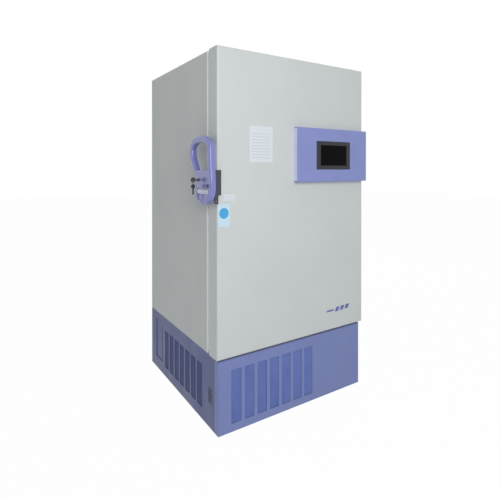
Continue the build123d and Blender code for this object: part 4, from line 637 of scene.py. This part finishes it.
# %% [markdown]
# ## Papers on the door
#
# A notice card hangs beside the panel, and two small stickers sit under the lever. The card and
# the upper sticker have ruled lines, and the lower sticker is a plain field with a round patch.
# Each is a thin plate with rounded corners: a box whose four short edges are bevelled. The patch
# is a very thin disc on the sticker.

# %% Paper finishes
door_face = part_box("door_skin")[0].y
film_thickness = 0.0004


def paper_finish(name, colour, rule_colour, rule_gap, rule_width, field_low, field_high):
    """Paper with ruled lines every rule_gap metres inside a field given by two (x, z) corners."""
    material = finish_of(name, colour, colour, "grain", 1200.0, 0.00001, (0.35, 0.5), 0.0)
    tree = material.node_tree
    shader = tree.nodes["Principled BSDF"]
    position = tree.nodes.new("ShaderNodeTexCoord").outputs["Object"]
    split = tree.nodes.new("ShaderNodeSeparateXYZ")
    tree.links.new(position, split.inputs[0])
    height = split.outputs["Z"]
    cycle = sum_up(tree, "FRACT", sum_up(tree, "DIVIDE", height, rule_gap))
    mask = sum_up(tree, "LESS_THAN", cycle, rule_width / rule_gap)
    for place, low, high in zip((split.outputs["X"], height), field_low, field_high):
        above = sum_up(tree, "GREATER_THAN", place, low)
        below = sum_up(tree, "LESS_THAN", place, high)
        mask = sum_up(tree, "MULTIPLY", sum_up(tree, "MULTIPLY", mask, above), below)
    plain = shader.inputs["Base Color"].links[0].from_socket
    tree.links.new(colour_mix(tree, mask, plain, tint(*rule_colour)), shader.inputs["Base Color"])
    return material


def door_paper(name, left, right, bottom, top, corner):
    """A thin plate on the door's front with rounded corners."""
    piece = block(name, (left, door_face - film_thickness, bottom), (right, door_face, top))
    pick(piece, "EDGE", lambda middle, way: abs(way.y) > 0.9)
    bpy.ops.mesh.bevel(offset=corner, segments=5, affect="EDGES")
    done_editing(piece)
    return piece


# %% Notice card, label and sticker
card = door_paper("notice_card", -0.275, -0.127, 1.400, 1.590, 0.004)
card_paper = paper_finish(
    "card_paper", (222, 228, 233), (190, 197, 212), 0.0158, 0.0022, (-0.262, 1.412), (-0.142, 1.560),
)
hand_over(card, "door", card_paper)

label = door_paper("small_label", -0.427, -0.363, 1.203, 1.235, 0.002)
label_paper = paper_finish(
    "label_paper", (222, 225, 232), (196, 201, 216), 0.008, 0.0012, (-0.421, 1.207), (-0.369, 1.231),
)
hand_over(label, "door", label_paper)

sticker = door_paper("plain_sticker", -0.461, -0.393, 1.072, 1.188, 0.010)
sticker_film = finish_of(
    "sticker_film", (206, 231, 244), (198, 226, 242), "grain", 1400.0, 0.00001, (0.25, 0.4), 0.0,
)
hand_over(sticker, "door", sticker_film)
patch_x, patch_z, patch_radius, patch_thickness = -0.427, 1.140, 0.027, 0.0002
patch_back = door_face - film_thickness
patch = rod(
    "sticker_patch", (patch_x, patch_back - patch_thickness, patch_z), (patch_x, patch_back, patch_z),
    patch_radius, 48,
)
patch_film = finish_of(
    "sticker_patch_film", (74, 170, 220), (66, 160, 214), "grain", 1400.0, 0.00001, (0.25, 0.4), 0.0,
)
hand_over(patch, "door", patch_film)

# %% [markdown]
# ## Emblem and painted highlight on the panel's side
#
# Low on the door's right sits a small violet emblem, a slanted dash and three lozenges, each a thin
# plate whose top edge is slid sideways. The panel housing's left end carries a pale rounded plate
# around the port cap, a painted highlight where that face catches the light.

# %% Emblem
emblem_film = finish_of(
    "emblem_film", (104, 110, 176), (96, 102, 168), "grain", 1400.0, 0.00001, (0.25, 0.4), 0.0,
)
mark_slant = 0.012
emblem_parts = []
for left, right, bottom, top in (
    (0.262, 0.318, 0.512, 0.522), (0.334, 0.362, 0.505, 0.531), (0.374, 0.402, 0.507, 0.533),
    (0.414, 0.442, 0.509, 0.535),
):
    mark = block("mark", (left, door_face - film_thickness, bottom), (right, door_face, top))
    pick(mark, "VERT", lambda place, normal, middle=(bottom + top) / 2: place.z > middle)
    bpy.ops.transform.translate(value=(mark_slant, 0, 0))
    done_editing(mark)
    emblem_parts.append(mark)
emblem = joined("plain_emblem", emblem_parts)
hand_over(emblem, "door", emblem_film)

# %% Painted highlight on the panel housing's left end
# A pale plate on the housing's left face: a painted highlight where that face catches the light.
house_low, house_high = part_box("control_housing")
highlight_thickness, highlight_margin = 0.0005, 0.006
highlight_plate = block(
    "panel_side_highlight",
    (house_low.x - highlight_thickness, house_low.y + highlight_margin, house_low.z + highlight_margin),
    (house_low.x, door_face, house_high.z - highlight_margin),
)
pick(highlight_plate, "EDGE", lambda middle, way: abs(way.x) > 0.9)
bpy.ops.mesh.bevel(offset=0.003, segments=4, affect="EDGES")
done_editing(highlight_plate)
highlight_plastic = finish_of(
    "painted_highlight_plastic", (214, 219, 246), (208, 214, 242), "grain", 900.0, 0.00002, (0.35, 0.5),
    0.05,
)
hand_over(highlight_plate, "door", highlight_plastic)

# %% [markdown]
# ## Pleated air filter
#
# Behind the front slots hangs a pleated mat in a frame. The pleats run upright, a few millimetres
# deep, and give each slot its fine dark lines. The mat starts as a flat grid whose every other
# column of points is pulled back, and a Solidify modifier gives it thickness.

# %% Air filter
filter_low, filter_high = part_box("air_filter")
pleat, pleat_depth = 0.0035, 0.004
rim_width, mat_inset, mat_thickness = 0.010, 0.0012, 0.0005
mat_width = filter_high.x - filter_low.x - 2 * rim_width
mat_height = filter_high.z - filter_low.z - 2 * rim_width
columns = int(mat_width / pleat)
nothing_selected()
bpy.ops.mesh.primitive_grid_add(x_subdivisions=columns, y_subdivisions=1, size=1)
mat = bpy.context.object
mat.scale = (mat_width, mat_height, 1)
mat.rotation_euler = (pi / 2, 0, 0)
mat.location = (
    (filter_low.x + filter_high.x) / 2, filter_low.y + mat_inset, (filter_low.z + filter_high.z) / 2,
)
bpy.ops.object.transform_apply(location=True, rotation=True, scale=True)
mat_left = min(point.co.x for point in mat.data.vertices)
mat_step = mat_width / columns
pick(mat, "VERT", lambda place, normal: round((place.x - mat_left) / mat_step) % 2 == 1)
bpy.ops.transform.translate(value=(0, pleat_depth, 0))
done_editing(mat)
add_modifier(mat, "SOLIDIFY", thickness=mat_thickness, offset=0)
rim = block("filter_rim", filter_low, filter_high)
pick(rim, "FACE", lambda middle, normal: abs(normal.y) > 0.9)
bpy.ops.mesh.inset(thickness=rim_width, use_individual=True)
bpy.ops.mesh.bridge_edge_loops()
done_editing(rim)
soften(rim, 0.0008)
filter_piece = joined("pleated_filter", [mat, rim])
filter_mat = finish_of(
    "filter_mat", (118, 136, 196), (108, 126, 186), "grain", 900.0, 0.0002, (0.75, 0.9), 0.1,
    floor_band=0.05,
)
hand_over(filter_piece, "front_grille", filter_mat)
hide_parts("air_filter")
print("filter faces:", len(filter_piece.data.polygons))

# %% [markdown]
# ## Wire screens behind the side slots
#
# The side panels have a wire screen behind their slots, which keeps fingers out. One upright and
# one lying wire are modelled as rods, and an Array modifier repeats each. The two sets lie one
# behind the other, as in a welded screen.

# %% Side screens
screen_front, screen_back = -0.298, 0.312
screen_bottom, screen_top = 0.079, 0.326
screen_gap = 0.0042
wire_radius, wire_sides = 0.0009, 6


def wire_set(name, start, end, count, step):
    """One thin wire, repeated by a step."""
    wire = rod(name, start, end, wire_radius, wire_sides)
    add_modifier(
        wire, "ARRAY", count=count, use_relative_offset=False, use_constant_offset=True,
        constant_offset_displace=step,
    )
    return wire


def wire_screen(name, plane):
    """Two sets of thin wires that cross, behind one side panel."""
    count = int((screen_back - screen_front) / screen_gap) + 1
    upright = wire_set(
        "upright_wire", (plane, screen_front, screen_bottom), (plane, screen_front, screen_top),
        count, (0, screen_gap, 0),
    )
    second_plane = plane + 2 * wire_radius
    rows = int((screen_top - screen_bottom) / screen_gap) + 1
    lying = wire_set(
        "lying_wire", (second_plane, screen_front, screen_bottom),
        (second_plane, screen_back, screen_bottom), rows, (0, 0, screen_gap),
    )
    return joined(name, [upright, lying])


screen_paint = finish_of(
    "screen_wire_paint", (86, 96, 148), (78, 88, 140), "peel", 400.0, 0.00002, (0.4, 0.55), 0.2,
)
left_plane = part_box("base_side_left")[0].x + 0.0037
right_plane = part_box("base_frame")[1].x - 0.0035
for name, plane in (("side_screen_left", left_plane), ("side_screen_right", right_plane)):
    screen = wire_screen(name, plane)
    hand_over(screen, "cabinet", screen_paint)
print("faces of the right screen:", len(screen.data.polygons))

# %% [markdown]
# ## Seals of the inner doors
#
# Each inner door carries a soft seal round the edge of its back. It is a frame: a flat box whose
# two large faces are inset and bridged, then rounded.

# %% Inner seals
seal_inset, seal_hinge_inset, seal_depth, seal_width = 0.006, 0.022, 0.008, 0.014
for name in ("inner_door_upper", "inner_door_lower"):
    low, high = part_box(name)
    ring = block(
        name + "_seal", (low.x + seal_inset, high.y, low.z + seal_inset),
        (high.x - seal_hinge_inset, high.y + seal_depth, high.z - seal_inset),
    )
    pick(ring, "FACE", lambda middle, normal: abs(normal.y) > 0.9)
    bpy.ops.mesh.inset(thickness=seal_width, use_individual=True)
    bpy.ops.mesh.bridge_edge_loops()
    done_editing(ring)
    soften(ring, 0.003, 3)
    hand_over(ring, name, seal_rubber)

# %% [markdown]
# ## Floor
#
# The floor is a plain pale plane that keeps a weak shadow. To the camera it is nearly all white
# light, so that it runs into the background, while the freezer gets its diffuse reflection.

# %% Floor
nothing_selected()
bpy.ops.mesh.primitive_plane_add(size=40)
floor = bpy.context.object
floor.name = "studio_floor"
floor_paint = bpy.data.materials.new("floor_white")
floor_paint.use_nodes = True
tree = floor_paint.node_tree
tree.nodes.clear()
floor_out = tree.nodes.new("ShaderNodeOutputMaterial")
floor_diffuse = tree.nodes.new("ShaderNodeBsdfDiffuse")
floor_diffuse.inputs["Color"].default_value = (0.82, 0.83, 0.85, 1)
floor_glow = tree.nodes.new("ShaderNodeEmission")
floor_glow.inputs["Color"].default_value = (1, 1, 1, 1)
floor_mix = tree.nodes.new("ShaderNodeMixShader")
tree.links.new(sum_up(tree, "MULTIPLY", seen_by_eye(tree), 0.98), floor_mix.inputs[0])
tree.links.new(floor_diffuse.outputs[0], floor_mix.inputs[1])
tree.links.new(floor_glow.outputs[0], floor_mix.inputs[2])
tree.links.new(floor_mix.outputs[0], floor_out.inputs["Surface"])
floor.data.materials.append(floor_paint)
